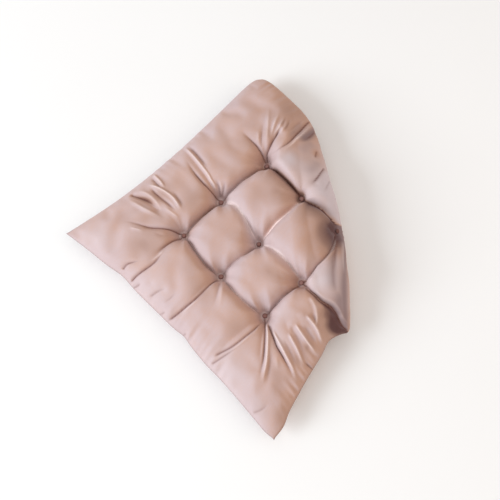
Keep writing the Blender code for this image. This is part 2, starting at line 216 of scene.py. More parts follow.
# Loft of the large relief, the share of the loft that the plain face always keeps, and the share
# of the dents that shows on the under sheet
FULL_LOFT = 0.020
LEAST_SHARE = 0.15
UNDER_DENTED = 0.8

# Half width of the patch of cloth that the seat of a button is laid through
SEAT = 0.0062

# Fine relief that only this script adds: narrower channels and pits, and flat seats in the pits
CREASED_WIDTH = 0.0080
PIT_FLAT = 0.0046
PIT_REACH = 0.0125
SEAT_FLAT = 0.0052
SEAT_EASE = 0.0040

# The pinch and the fold that run along a channel; the pinch is also painted with shade, and the
# fold with a highlight
SLOT_DEPTH = 0.0036
SLOT_WIDTH = 0.0016
SLOT_SHADE = 1.3
RIDGE_WIDTH = 0.0015
RIDGE_FADE = 0.15

# Cross-sections of the traced folds, and the thin painted line on each, of shade in a groove and
# of highlight on a ridge: it is strongest from STEEP_DEPTH on and up to NARROW_WIDTH, both in mm
FOLD_CURVE_STEPS = 4
FOLD_MARGIN = 4.0
FOLD_LOFT = 0.009
GROOVE_POWER = 1.5
RIDGE_POWER = 2.0
STEEP_DEPTH = 3.5
NARROW_WIDTH = 3.0
LINE_WIDTH = 0.0011
LINE_SHARE = 0.4
LINE_POWER = 1.6

# Pleats round the tufts: how many run round each, in a few sets laid over one another
GATHER_COUNTS = (5, 8, 11, 15)
GATHER_HEIGHT = 0.0010
GATHER_LEAST = 0.4
GATHER_START = 0.005
GATHER_EASE = 0.008
GATHER_REACH = 0.021
GATHER_SEED = 40

# The sewn rim: the shade of its stitches, and its puckers of a few lengths, which come and go
SEAM_SHADE = 0.55
SEAM_WIDTH = 0.0012
STITCH_LENGTH = 0.0042
STITCH_BREAK = 0.25
PUCKER_LENGTHS = (0.011, 0.017, 0.026, 0.043)
PUCKER_HEIGHT = 0.00045
PUCKER_REACH = 0.020
PUCKER_POWER = 1.2
PUCKER_LOFT = 0.006
PUCKER_SWAY = 3.0
PUCKER_SWAY_RATE = 41.0
PUCKER_START_S = 0.37
PUCKER_START_T = 0.11
PUCKER_SEED = 7
PUCKERED_MEAN = 0.5
PUCKERED_SPREAD = 1.4
PUCKERED_MOST = 1.3

# Slow unevenness of the filling, and how much of it is lost in the dents
DRIFT_HEIGHT = 0.0007
DRIFT_DENTED = 0.7
WAVE_POWER = 0.6

# Lowest share of the loft that the face keeps, and how rounded the turn to it is
LOWEST_SHARE = 0.10
LOWEST_ROUNDING = 0.0020
LOWEST_ROUNDING_SHARE = 0.2

# What the velvet shows at each point, and the tufts round whose pits a highlight is painted
LOOKS = ("painted_shade_and_seam", "shine", "painted_light_and_shade", "painted_grey_shade")
LIT_TUFTS = ("b", "c", "d", "e", "i")
PIT_GLOW = 0.80
PIT_GLOW_REACH = 0.0085

# Folds traced over the cover, mm on the pattern: a path, its depth (negative on a ridge), its
# width, and the shares of its length over which it fades in and out
FOLD_COLUMNS = ("path", "depth", "width", "fade_in", "fade_out")
FOLDS = (
    (((-91, 91), (-95, 99), (-95, 108), (-95, 119), (-95, 132), (-97, 149)), 4.4, 2.0, 0.0, 0.3),
    (((-97, 149), (-101, 160), (-105, 170)), 1.4, 3.0, 0.3, 0.6),
    (((-92, 89), (-102, 93), (-111, 95), (-121, 95), (-129, 95), (-143, 94)), 3.2, 2.6, 0.0, 0.7),
    (((-103, 95), (-111, 109), (-119, 124), (-127, 135)), 1.6, 3.0, 0.3, 0.6),
    (((-111, 99), (-115, 105), (-123, 119)), -1.0, 2.6, 0.4, 0.5),
    (((-100, 105), (-107, 121), (-120, 141), (-142, 166)), -1.9, 3.6, 0.3, 0.6),
    (((-107, 169), (-99, 149), (-97, 131), (-91, 112)), -2.4, 2.2, 0.3, 0.5),
    (((-100, 121), (-110, 150), (-118, 167)), -2.2, 2.6, 0.4, 0.5),
    (((-91, 137), (-93, 153), (-102, 169)), -1.8, 2.6, 0.3, 0.5),
    (((-88, 146), (-93, 161), (-100, 175)), 1.8, 3.0, 0.3, 0.6),
    (
        ((-92, 101), (-79, 112), (-71, 133), (-71, 152), (-74, 166), (-79, 183), (-81, 199)),
        3.4, 1.9, 0.6, 0.1,
    ),
    (((-67, 121), (-64, 141), (-66, 158), (-70, 173), (-76, 198)), -3.0, 2.6, 0.4, 0.1),
    (((-83, 150), (-84, 166), (-88, 188)), 1.8, 4.5, 0.4, 0.3),
    (((-59, 152), (-60, 164), (-62, 180), (-64, 197)), 4.2, 4.0, 0.5, 0.1),
    (((-30, 150), (-38, 165)), 2.6, 3.0, 0.4, 0.2),
    (((-2, 108), (-5, 120), (-8, 132), (-11, 147)), 3.2, 1.8, 0.3, 0.1),
    (((17, 107), (11, 123), (7, 143)), 1.2, 3.0, 0.4, 0.3),
    (((-90, 1), (-109, -4), (-125, -6), (-147, -4), (-174, 3)), 4.0, 2.6, 0.0, 0.6),
    (((-99, 3), (-107, 6), (-116, 7), (-126, 9), (-143, 11), (-172, 15), (-196, 19)), -3.0, 2.0, 0.1, 0.2),
    (((-133, 16), (-156, 19), (-177, 22), (-194, 24)), 2.4, 3.6, 0.3, 0.3),
    (((-91, 4), (-101, 10), (-113, 13)), 2.2, 1.6, 0.2, 0.5),
    (((-91, 5), (-95, 14), (-101, 21)), 2.2, 1.6, 0.2, 0.5),
    (((-92, 5), (-99, 12), (-109, 17)), -1.8, 1.6, 0.2, 0.6),
    (((-190, -94), (-177, -90), (-164, -86), (-154, -85), (-140, -86)), 4.6, 3.4, 0.1, 0.5),
    (((-189, -84), (-175, -79), (-160, -78), (-143, -81), (-130, -85)), -1.8, 3.4, 0.3, 0.3),
    (((-188, -104), (-168, -102), (-152, -100), (-135, -96), (-118, -94)), -2.4, 3.4, 0.4, 0.4),
    (((-183, -65), (-169, -61), (-157, -59), (-134, -58), (-110, -64)), -3.2, 2.3, 0.2, 0.2),
    (((-176, -67), (-162, -69), (-149, -70), (-131, -70), (-114, -71)), 3.2, 2.4, 0.2, 0.3),
    (((-195, -46), (-184, -48), (-172, -50), (-157, -54)), -2.8, 2.0, 0.2, 0.3),
    (((-191, -53), (-177, -55), (-161, -58)), 2.2, 2.2, 0.3, 0.4),
    (((-146, -49), (-127, -54), (-110, -58)), 1.4, 3.4, 0.4, 0.4),
    (((-134, -79), (-113, -77), (-103, -75)), -1.6, 2.8, 0.4, 0.3),
    (((-143, -136), (-133, -131), (-123, -126)), -1.4, 2.2, 0.3, 0.4),
    (((-91, -87), (-103, -98), (-115, -109), (-127, -118), (-149, -129), (-162, -136)), 3.8, 2.4, 0.0, 0.6),
    (((-116, -119), (-101, -114), (-94, -103)), 1.0, 4.0, 0.5, 0.5),
    (((-86, -91), (-86, -113), (-86, -130), (-85, -141)), 3.2, 2.0, 0.0, 0.4),
    (((-80, -132), (-78, -151), (-81, -171), (-83, -187), (-83, -198)), 3.6, 2.0, 0.3, 0.1),
    (((-82, -126), (-81, -141), (-83, -155)), -1.8, 1.9, 0.3, 0.5),
    (((-95, -163), (-103, -177), (-104, -185), (-103, -193)), 3.0, 2.4, 0.5, 0.1),
    (((-71, -186), (-73, -195), (-76, -200)), 1.8, 2.2, 0.4, 0.1),
    (((-49, -193), (-45, -177), (-39, -165)), 1.5, 1.9, 0.2, 0.6),
    (((-25, -159), (-26, -173), (-29, -185)), 1.0, 2.4, 0.5, 0.5),
    (((-19, -191), (-23, -200)), 1.4, 2.2, 0.4, 0.1),
    (((1, -95), (2, -112), (2, -138), (-1, -162), (-5, -183), (-9, -199)), 4.2, 1.8, 0.0, 0.1),
    (((6, -143), (3, -160), (0, -177)), -1.3, 1.7, 0.3, 0.4),
    (((9, -97), (21, -119), (28, -138)), 1.4, 3.2, 0.1, 0.7),
    (((14, -97), (27, -117), (39, -136)), -1.1, 3.4, 0.2, 0.7),
    (((21, -193), (19, -200)), 1.4, 2.6, 0.5, 0.2),
    (((90, -95), (91, -115), (88, -137), (83, -157), (75, -175), (71, -185)), 2.8, 1.8, 0.2, 0.1),
    (((94, -117), (91, -139), (87, -158), (80, -177)), -1.3, 1.8, 0.3, 0.4),
    (((92, -145), (84, -169), (77, -187), (73, -195)), 2.0, 1.8, 0.5, 0.1),
    (((89, -90), (105, -104), (118, -118), (129, -133), (136, -149), (142, -162)), 4.4, 2.2, 0.0, 0.5),
    (((97, -93), (113, -105), (126, -119), (136, -133), (143, -149), (149, -161)), -3.4, 2.6, 0.1, 0.4),
    (((131, -115), (141, -129), (149, -145), (152, -157)), 1.6, 4.5, 0.5, 0.4),
    (((140, -113), (150, -121), (157, -129)), -1.2, 4.2, 0.5, 0.5),
    (
        ((99, -93), (122, -100), (136, -105), (151, -107), (162, -109), (175, -112), (186, -117)),
        3.8, 2.0, 0.1, 0.5,
    ),
    (((110, -93), (124, -96), (142, -99), (161, -103), (177, -107), (190, -114)), -3.2, 2.8, 0.2, 0.3),
    (((136, -87), (155, -92), (169, -96), (178, -99)), 1.6, 4.4, 0.4, 0.4),
    (((139, -76), (151, -78), (165, -81), (178, -86), (192, -91)), -3.0, 2.8, 0.2, 0.3),
    (((136, -66), (154, -69), (168, -73), (182, -77)), 2.4, 5.4, 0.2, 0.5),
    (((140, -58), (158, -60), (174, -62), (188, -63), (198, -65)), -3.2, 3.0, 0.2, 0.3),
    (((153, -49), (169, -51), (189, -53)), 2.2, 5.4, 0.3, 0.4),
    (((145, -36), (158, -36), (170, -37), (182, -40), (197, -46)), -3.6, 2.8, 0.2, 0.2),
    (((147, -26), (161, -30), (177, -34)), 2.0, 5.0, 0.3, 0.4),
    (((125, -9), (143, -14), (154, -19), (163, -27), (171, -38)), -2.6, 3.0, 0.2, 0.2),
    (((155, -197), (164, -183), (169, -169)), 1.2, 1.6, 0.2, 0.5),
    (((200, -83), (193, -84), (184, -86)), 2.4, 1.6, 0.1, 0.5),
    (
        ((89, 0), (101, 1), (127, 0), (144, -1), (155, 1), (163, 3), (171, 3), (187, 1), (198, 7)),
        5.5, 2.4, 0.0, 0.03,
    ),
    (
        ((104, -2), (127, -3), (144, -4), (155, -2), (163, 0), (171, 0), (187, -2), (197, 4)),
        2.6, 1.5, 0.2, 0.05,
    ),
    (((150, -9), (166, -8), (182, -9), (196, -6)), 5.0, 9.0, 0.3, 0.1),
    (((125, 5), (147, 4), (160, 7), (172, 8), (181, 7), (192, 12)), -1.0, 3.0, 0.2, 0.1),
    (((7, 88), (29, 90), (53, 91), (71, 91), (84, 90)), 6.0, 6.5, 0.2, 0.3),
    (((63, 75), (75, 77), (88, 75)), 3.5, 9.0, 0.3, 0.4),
    (((96, 78), (104, 62), (114, 46), (126, 33)), 2.2, 2.6, 0.1, 0.5),
    (((99, 63), (114, 43), (133, 29)), 1.2, 3.0, 0.4, 0.5),
    (((99, 80), (110, 66), (122, 52), (137, 38)), -2.0, 2.2, 0.2, 0.5),
    (((6, 3), (28, 9), (47, 12), (60, 9)), -2.4, 1.2, 0.05, 0.3),
    (((-84, 3), (-72, 7), (-60, 9), (-45, 7), (-34, 7)), -1.6, 1.2, 0.1, 0.5),
    (((93, 78), (98, 66), (103, 43), (98, 20), (92, 8)), -2.4, 1.8, 0.2, 0.1),
    (((103, 69), (108, 50), (119, 37), (136, 24), (155, 15)), 2.0, 4.0, 0.2, 0.3),
)

# Patches of painted light and shade, mm on the pattern: painted light above zero, painted shade below
PAINTED_TONE_PATCH_COLUMNS = ("s", "t", "reach", "tone")
PAINTED_TONE_PATCHES = (
    (-15, 123, 24, 0.60),
    (15, 110, 20, 0.80),
    (49, 101, 15, 0.80),
    (8, 138, 14, 0.60),
    (32, 121, 14, 0.80),
    (59, 108, 12, 0.80),
    (76, 103, 8, 0.80),
    (89, 97, 6, -0.90),
    (-42, 155, 16, 0.35),
    (-48, 120, 15, 0.25),
    (-58, 124, 16, 0.35),
    (-60, 106, 13, 0.35),
    (100, 30, 14, 0.45),
    (118, 27, 18, 0.45),
    (120, 51, 14, 0.45),
    (126, 16, 15, 0.50),
    (152, -10, 10, 0.35),
    (60, 55, 13, 0.22),
    (92, 62, 12, -0.28),
    (-40, 40, 17, -0.20),
    (108, -22, 12, -0.18),
    (145, 25, 18, 0.45),
    (170, 18, 14, 0.40),
    (80, 72, 15, -0.45),
    (-36, 159, 7, -0.45),
    (182, -10, 12, -0.60),
    (191, -15, 9, -0.60),
    (-107, 184, 22, -0.28),
    (-131, 156, 16, -0.15),
    (-104, 125, 10, -0.25),
    (104, -193, 40, 0.42),
    (67, -141, 20, -0.12),
    (-168, -183, 26, 0.34),
    (-155, -47, 14, -0.18),
    (-152, -113, 18, -0.22),
    (-128, -95, 16, -0.18),
    (-91, -147, 16, -0.15),
    (-19, -135, 13, -0.15),
    (-128, 91, 16, -0.18),
    (-23, 71, 14, -0.25),
    (48, -26, 14, -0.15),
    (-99, 32, 12, -0.15),
    (-111, -141, 20, -0.34),
    (-155, -130, 15, -0.20),
    (-39, -121, 16, -0.20),
    (-151, -69, 14, -0.28),
    (-155, 70, 14, 0.15),
    (-159, -171, 16, 0.15),
    (-17, -2, 14, 0.12),
    (-90, -9, 10, 0.12),
    (-55, -189, 28, 0.26),
    (167, -187, 18, 0.26),
    (161, -134, 16, -0.28),
    (185, -167, 15, -0.28),
    (177, -67, 9, -0.40),
    (175, -92, 8, -0.30),
    (135, -97, 14, 0.48),
    (112, -60, 16, 0.24),
    (-28, 64, 16, -0.10),
    (0, 0, 16, 0.30),
    (0, 84, 6, -0.80),
    (-2, 94, 6, -0.50),
    (0, -86, 14, 0.20),
    (86, -86, 13, 0.20),
    (-80, 8, 14, 0.30),
    (-97, -90, 12, 0.30),
    (-150, -98, 9, 0.40),
    (-151, -118, 9, 0.25),
    (-51, 71, 17, -0.25),
    (55, -31, 15, -0.15),
    (-110, -42, 18, -0.30),
    (4, -132, 15, -0.25),
    (72, -134, 14, -0.20),
    (-42, 116, 14, 0.30),
    (173, -17, 7, 0.25),
    (53, -17, 14, -0.10),
)

# Traced courses of channels that more than one painted tone line follows, mm on the pattern
C_TO_B = ((-86, -86), (-85, -43), (-86, 0))
B_TO_A = ((-86, 0), (-85, 43), (-86, 86))
A_TO_F = ((-86, 86), (-43, 90), (0, 87))
F_TO_G = ((0, 86), (28, 92), (52, 95), (72, 93), (86, 88))
PAST_G = F_TO_G + ((130, 75),)

# The same painted light and shade along a traced line: path in mm, side (1 is its left, -1 its
# right and 0 both), tone, reach in mm, and fades
PAINTED_TONE_LINE_COLUMNS = ("path", "side", "tone", "reach", "fade_in", "fade_out")
PAINTED_TONE_LINES = (
    (((127, 0), (144, -1), (155, 1), (163, 3), (171, 3), (187, 1), (200, 8)), -1, -1.0, 21.0, 0.65, 0.02),
    (PAST_G, -1, -0.75, 26.0, 0.38, 0.3),
    (
        ((95, -1), (127, -2), (144, -3), (155, -1), (163, 1), (171, 1), (187, -1), (198, 6)),
        -1, -0.8, 3.5, 0.1, 0.02,
    ),
    (((-190, -94), (-177, -90), (-164, -86), (-154, -85), (-140, -86)), 0, -0.8, 3.5, 0.5, 0.5),
    (F_TO_G, -1, -1.0, 4.5, 0.05, 0.02),
    (F_TO_G, 1, -0.8, 3.0, 0.05, 0.02),
    (PAST_G, -1, -0.6, 11.0, 0.2, 0.3),
    (A_TO_F, -1, -0.5, 6.0, 0.3, 0.02),
    (A_TO_F, 1, -0.9, 5.0, 0.5, 0.02),
    (((-86, 0), (-46, 5), (0, 0)), 0, 0.70, 7.0, 0.1, 0.1),
    (((0, -86), (40, -95), (86, -86)), 0, 0.10, 7.0, 0.1, 0.1),
    (((-86, -86), (-48, -94), (0, -86)), 0, 0.20, 7.0, 0.1, 0.1),
    (((0, -86), (4, -43), (0, 0)), 0, 0.35, 7.0, 0.1, 0.1),
    (((0, 0), (40, 8), (86, 0)), 0, 0.60, 8.0, 0.1, 0.6),
    (((86, -86), (91, -43), (86, 0)), 1, 0.55, 6.0, 0.1, 0.6),
    (C_TO_B, -1, -0.55, 8.0, 0.05, 0.9),
    (B_TO_A, 1, 0.50, 8.0, 0.05, 0.8),
    (C_TO_B, 1, 0.35, 8.0, 0.05, 0.9),
    (B_TO_A, -1, -0.45, 6.0, 0.9, 0.05),
    (
        ((-71, 197), (-49, 187), (-24, 169), (7, 144), (36, 117), (63, 105), (80, 96)),
        0, 0.70, 12.0, 0.55, 0.02,
    ),
    (((70, 95), (87, 84), (101, 66), (103, 43), (97, 18), (87, 1)), -1, -0.65, 8.0, 0.1, 0.9),
)

# Painted greyish shade along traced lines: path in mm, strength, width in mm, fades
PAINTED_GREY_SHADE_COLUMNS = ("path", "strength", "width", "fade_in", "fade_out")
PAINTED_GREY_SHADES = (
    (((80, 95), (88, 90), (98, 86)), 0.95, 6.0, 0.02, 0.02),
    (
        ((98, 84), (106, 77), (123, 57), (143, 35), (160, 24), (175, 15), (185, 7), (196, 2)),
        0.85, 7.0, 0.0, 0.02,
    ),
    (((143, 24), (160, 17), (172, 10), (183, 5)), 0.75, 10.0, 0.5, 0.2),
    (((103, 69), (108, 50), (119, 37), (136, 24), (155, 15), (167, 9)), 0.40, 5.0, 0.1, 0.4),
    (((-59, 150), (-62, 160), (-64, 174), (-66, 198)), 0.90, 7.0, 0.3, 0.1),
    (((-78, 137), (-76, 145), (-78, 165), (-85, 185)), 0.40, 4.5, 0.4, 0.3),
    (((-50, 138), (-50, 151), (-54, 172)), 0.32, 9.0, 0.3, 0.3),
    (((-12, 112), (-18, 129), (-24, 152)), 0.28, 6.0, 0.4, 0.3),
)

# Steps of the cover's grid: the upper sheet, and how many of its steps one under step spans
UPPER_STEPS = 294
UNDER_SPAN = 3

# Cloth simulation of the cover: grid, frames, cloth, how far it may carry a point, and the share
# of that which is taken away between the tufts, where the cloth is taut. TINY is added to lengths
# so that none is zero.
CLOTH_STEPS = 147
CLOTH_FRAMES = 20
CLOTH_SETTINGS = {
    "quality": 5,
    "tension_stiffness": 15.0,
    "compression_stiffness": 15.0,
    "shear_stiffness": 5.0,
    "bending_stiffness": 20.0,
    "use_pressure": True,
    "uniform_pressure_force": 4.0,
    "shrink_min": -0.014,
    "vertex_group_mass": "pins",
}
CLOTH_REACH = 0.0032
CLOTH_TAUT = 0.45
TAUT_EASE = 0.024
SHIFT_EASE = 0.006
TINY = 1e-9

# How firmly the cloth is held: everywhere, at tufts, along channels, on the rim and at the turn
HELD_EVERYWHERE = 0.12
HELD_TUFT_FLAT = 0.008
HELD_TUFT_EASE = 0.010
HELD_CHANNEL = 0.8
HELD_CHANNEL_WIDTH = 0.004
HELD_RIM = 0.6
HELD_RIM_WIDTH = 0.008
HELD_TURN_IN = 0.005
HELD_TURN_EASE = 0.030

# Buttons: a flat foot, a short edge and a dome. A ring of the foot is its share of the radius and
# of the height.
BUTTON_RADIUS = 0.0038
BUTTON_DOME = 0.0024
BUTTON_EDGE = 0.0008
BUTTON_GAP = 0.0004
BUTTON_SIDES = 64
BUTTON_FOOT = ((0.80, 0.0), (0.94, 0.10), (1.0, 0.30))
BUTTON_DOME_STEPS = 12

# A button's cloth in shares of its radius: how far it is taken in, its pleats towards the edge,
# and the dimple in its middle, whose depth is a share of the height. Each wave makes two pleats.
TAKEN_IN = 0.985
PLEAT_WAVES = 8.0
PLEAT_DEPTH = 0.035
PLEAT_START = 0.55
PLEAT_EASE = 0.4
DIMPLE_DEPTH = 0.10
DIMPLE_REACH = 0.16

# Painted shade at a button's edge and in its pleats, and the least painted shade of the buttons
# that lie in shade
EDGE_SHADE = 0.75
EDGE_FROM = 0.85
PLEAT_SHADE = 0.5
PLEAT_LOW = -0.3
PLEATS_FROM = 0.6
PAINTED_BUTTON_SHADES = {"a": 0.12, "f": 0.35, "g": 0.80, "h": 0.20}

# View of the photograph: the camera's directions, the point it looks at, its distance and lens
AZIMUTH = np.radians(46.0)
ELEVATION = np.radians(72.6)
BACK = np.array(
    [
        np.sin(AZIMUTH) * np.cos(ELEVATION),
        -np.cos(AZIMUTH) * np.cos(ELEVATION),
        np.sin(ELEVATION),
    ]
)
RIGHT = np.array([np.cos(AZIMUTH), np.sin(AZIMUTH), 0.0])
UP = np.cross(BACK, RIGHT)
AIM_HEIGHT = 0.0300
AIM_LEFT = 0.018
AIM_DOWN = 0.015
AIM = np.array([-MIDDLE_X, -MIDDLE_Y, AIM_HEIGHT]) - AIM_LEFT * RIGHT - AIM_DOWN * UP
DISTANCE = 1.198
LENS = 57.6
SENSOR_WIDTH = 36.0

# Lamps: direction as shares of the camera's right, up and back, distance, side, power and colour
LAMP_COLUMNS = ("name", "right", "up", "back", "distance", "side", "power", "color")
LAMPS = (
    ("key", -1.0, -0.15, 0.62, 3.6, 1.8, 108.0, (0.88, 0.95, 1.0)),
    ("fill", 1.0, 0.10, 0.70, 2.4, 1.4, 7.0, (1.0, 0.76, 0.60)),
    ("top", 0.1, 0.30, 1.00, 2.6, 2.6, 9.0, (1.0, 0.99, 0.98)),
)
WORLD_COLOR = (1.0, 0.955, 0.92, 1.0)
WORLD_STRENGTH = 0.60

# The plain floor under the cushion
FLOOR_HALF = 4.0
FLOOR_DROP = 0.0005
FLOOR_DARK = (0.90, 0.90, 0.90, 1.0)
FLOOR_PALE = (0.93, 0.93, 0.93, 1.0)

# Direction towards the key lamp across the view, and the colours of the velvet. Slopes that face
# that way are painted pale and the others warm: painted light and shade. Light, tan and deep are
# painted light and shade from the tone tables, dusk is a painted greyish shade, fold is painted
# shade in narrow hollows and pinches and at a button's edge and pleats, and also the dark seam,
# and ridge is a painted highlight on ridges and round pits.
PAINTED_LIGHT_DIRECTION = tuple((-0.96 * RIGHT - 0.28 * UP).tolist())
COVER = {
    "pale": (0.546, 0.420, 0.424, 1.0),
    "warm": (0.565, 0.345, 0.262, 1.0),
    "fold": (0.150, 0.050, 0.036, 1.0),
    "light": (0.650, 0.550, 0.570, 1.0),
    "tan": (0.400, 0.240, 0.185, 1.0),
    "deep": (0.120, 0.055, 0.052, 1.0),
    "painted_grey_shade": (0.260, 0.180, 0.185, 1.0),
    "ridge": (0.900, 0.740, 0.710, 1.0),
}
BUTTONS = {
    "pale": (0.370, 0.215, 0.198, 1.0),
    "warm": (0.350, 0.185, 0.155, 1.0),
    "fold": (0.130, 0.050, 0.042, 1.0),
    "light": (0.370, 0.230, 0.215, 1.0),
    "tan": (0.240, 0.130, 0.120, 1.0),
    "deep": (0.240, 0.130, 0.120, 1.0),
    "painted_grey_shade": (0.240, 0.130, 0.120, 1.0),
    "ridge": (0.420, 0.275, 0.262, 1.0),
}


def rows_of(columns, table):
    """The rows of a table, each with its columns named."""
    return [dict(zip(columns, row)) for row in table]


def falloff(away, reach, power=2.0):
    """One at no distance, and less and less past the reach."""
    return np.exp(-((away / reach) ** power))


def smooth_step(value):
    """A soft step from zero to one."""
    value = np.clip(value, 0.0, 1.0)
    return value * value * (3.0 - 2.0 * value)


def corner(name):
    """Plan position of a corner."""
    return np.array([CORNERS[name]["x"], CORNERS[name]["y"]])


def tuft_place(name):
    """Where a tuft lies on the pattern."""
    return TUFTS[name]["column"] * TUFT_STEP, TUFTS[name]["row"] * TUFT_STEP


def distance_to_tuft(s, t, name):
    """Distance from a tuft, on the pattern."""
    tuft_s, tuft_t = tuft_place(name)
    return np.hypot(s - tuft_s, t - tuft_t)


def rim_of(s, t):
    """Distance from the nearest sewn side, and the place along that side."""
    from_side = HALF - np.abs(s)
    from_end = HALF - np.abs(t)
    return np.minimum(from_side, from_end), np.where(from_side < from_end, t, s)


def side_curve(name, place):
    """Points on one drawn-in side, for places from -1 to 1 along it."""
    side = dict(zip(SIDE_COLUMNS, SIDES[name]))
    share = (place + 1.0) / 2.0
    bow = side["drawn_in"] * (1.0 - place**2) * (1.0 + side["skew"] * place)
    chord = np.outer(1.0 - share, corner(side["start"])) + np.outer(share, corner(side["end"]))
    return chord + np.outer(bow, side["inward"])


def plan_of(s, t):
    """Plan position of pattern points, before the corner is turned under."""
    u = s / HALF
    v = t / HALF
    across = (u + 1.0) / 2.0
    along = (v + 1.0) / 2.0
    plan = side_curve("left", v) * (1.0 - across)[:, None] + side_curve("right", v) * across[:, None]
    plan += side_curve("low", u) * (1.0 - along)[:, None] + side_curve("high", u) * along[:, None]
    plan -= np.outer((1.0 - across) * (1.0 - along), corner("left"))
    plan -= np.outer(across * (1.0 - along), corner("bottom"))
    plan -= np.outer((1.0 - across) * along, corner("top"))
    plan -= np.outer(across * along, corner("right"))
    for name, tuft in TUFTS.items():
        share = falloff(distance_to_tuft(s, t, name), SHIFT_REACH)
        plan += np.outer(share, (tuft["shift_x"] * MM, tuft["shift_y"] * MM))
    for pull in rows_of(PULL_COLUMNS, PULLS):
        away = np.hypot(s - pull["s"] * MM, t - pull["t"] * MM)
        share = falloff(away, pull["reach"] * MM)
        plan += np.outer(share, (pull["shift_x"] * MM, pull["shift_y"] * MM))
    for name in CORNERS:
        away = plan - corner(name)
        reach = np.exp(-np.hypot(away[:, 0], away[:, 1]) / CORNER_REACH)
        inward = -corner(name) / np.linalg.norm(corner(name))
        plan += np.outer(CORNERS[name]["rounded"] * reach, inward)
    return plan


def distance_to_segment(s, t, start, end, bow=0.0, skew=0.0):
    """Distance to a segment bowed sideways, and the share of the way along it."""
    run = np.subtract(end, start)
    length = np.hypot(run[0], run[1])
    ahead = ((s - start[0]) * run[0] + (t - start[1]) * run[1]) / length
    aside = ((t - start[1]) * run[0] - (s - start[0]) * run[1]) / length
    share = np.clip(ahead / length, 0.0, 1.0)
    aside = aside - bow * 4.0 * share * (1.0 - share) * (1.0 + skew * (2.0 * share - 1.0))
    beyond = ahead - share * length
    return np.hypot(aside, beyond), share


def distance_to_channel(s, t, line, fine):
    """Distance to a channel's plain or traced course, and the share of the way along it."""
    start = tuft_place(line["start"])
    end = tuft_place(line["end"])
    if fine:
        return distance_to_segment(s, t, start, end, line["fine_bow"] * MM, line["skew"])
    return distance_to_segment(s, t, start, end, line["bow"] * MM)


def dents_of(s, t, fine=False):
    """Share of the loft that the tufts and the channels take away."""
    width = CREASED_WIDTH if fine else CHANNEL_WIDTH
    flat = PIT_FLAT if fine else TUFT_FLAT
    tuft_reach = PIT_REACH if fine else TUFT_REACH
    total = np.zeros_like(s)
    for name in TUFTS:
        away = np.maximum(distance_to_tuft(s, t, name) - flat, 0.0)
        total += (TUFT_DEPTH * falloff(away, tuft_reach, TUFT_POWER)) ** DENT_BLEND
    for line in rows_of(CHANNEL_COLUMNS, CHANNELS):
        away, share = distance_to_channel(s, t, line, fine)
        ends = np.abs(2.0 * share - 1.0) ** CHANNEL_ENDS_POWER
        middle = line["fine_middle"] if fine else line["middle"]
        depth = middle + (CHANNEL_DEPTH_ENDS - middle) * ends
        total += (depth * falloff(away, width, CHANNEL_POWER)) ** DENT_BLEND
    return np.clip(total ** (1.0 / DENT_BLEND), 0.0, DENT_LIMIT)


def creases_of(s, t, fine=False):
    """Depth of the large creases, in metres, at pattern points."""
    total = np.zeros_like(s)
    for line in rows_of(CREASE_COLUMNS, CREASES):
        start = (line["from_s"] * MM, line["from_t"] * MM)
        end = (line["to_s"] * MM, line["to_t"] * MM)
        away, share = distance_to_segment(s, t, start, end, line["bow"] * MM)
        shape = falloff(away, line["width"] * MM, CREASE_POWER)
        kept = line["kept"] if fine else 1.0
        total += kept * line["depth"] * MM * shape * (1.0 - share) ** CREASE_TAPER
    return total


def puff_of(s, t):
    """Share of the full loft, from nothing on the rim to one in the middle."""
    across = np.clip(1.0 - np.abs(s / HALF) ** PUFF_FLATNESS, 0.0, 1.0)
    along = np.clip(1.0 - np.abs(t / HALF) ** PUFF_FLATNESS, 0.0, 1.0)
    return (across * along) ** PUFF_ROUNDNESS


def bend_table():
    """The middle of the cushion along the turn: length, reach, height and slope."""
    length = np.linspace(0.0, BEND_LENGTH, BEND_POINTS)
    step = length[1] - length[0]
    slope = np.interp(length, [0.0, RAMP_LENGTH], [0.0, RAMP_SLOPE])

    def walk(angle, part):
        middle = 0.5 * (angle[1:] + angle[:-1])
        return np.concatenate([[0.0], np.cumsum(part(middle) * step)])

    reach = walk(slope, np.cos) + RAMP_START
    start = np.interp(ROLL_START, reach, length)
    turned = (length - start) / ((RAMP_SLOPE - ROLL_END) * ROLL_RADIUS)
    slope = slope + (ROLL_END - RAMP_SLOPE) * np.clip(turned, 0.0, 1.0)
    reach = walk(slope, np.cos) + RAMP_START
    height = walk(slope, np.sin)
    return length, reach, height, slope


BEND = bend_table()
TOWARDS = np.array([np.cos(TURN_DIRECTION), np.sin(TURN_DIRECTION)])
SIDEWAYS = np.array([-TOWARDS[1], TOWARDS[0]])


def layer_room():
    """Half of the height between the two layers, at each place of the bend table."""
    length, reach, height, slope = BEND
    crest = int(np.argmax(reach))
    upper_height = np.interp(reach, reach[:crest], height[:crest])
    tucked_height = np.interp(reach, reach[crest:][::-1], height[crest:][::-1])
    room = (upper_height - tucked_height - LAYER_GAP) / 2.0
    turning = (slope < RAMP_SLOPE - SLOPE_MARGIN) & (slope > ROLL_END + SLOPE_MARGIN)
    rolling = (length > RAMP_LENGTH) & turning
    room = np.where(rolling, ROLL_RADIUS - ROLL_SLOT, room)
    return np.clip(room, LEAST_ROOM, ROLL_RADIUS - ROLL_SLOT)


def tucked_outline():
    """Reach of the tucked corner's two sewn sides, with how far aside each lies."""
    length, reach, _, _ = BEND
    place = np.linspace(-1.0, 1.0, OUTLINE_POINTS)
    crest_length = length[int(np.argmax(reach))]
    edges = []
    for name in ("right", "high"):
        points = side_curve(name, place)
        run = points @ TOWARDS - RAMP_START
        tucked = run > crest_length
        edge_reach = np.interp(run[tucked], length, reach)
        order = np.argsort(edge_reach)
        edges.append((edge_reach[order], (points[tucked] @ SIDEWAYS)[order]))
    return edges


ROOM = layer_room()
TUCKED_LOW, TUCKED_HIGH = tucked_outline()


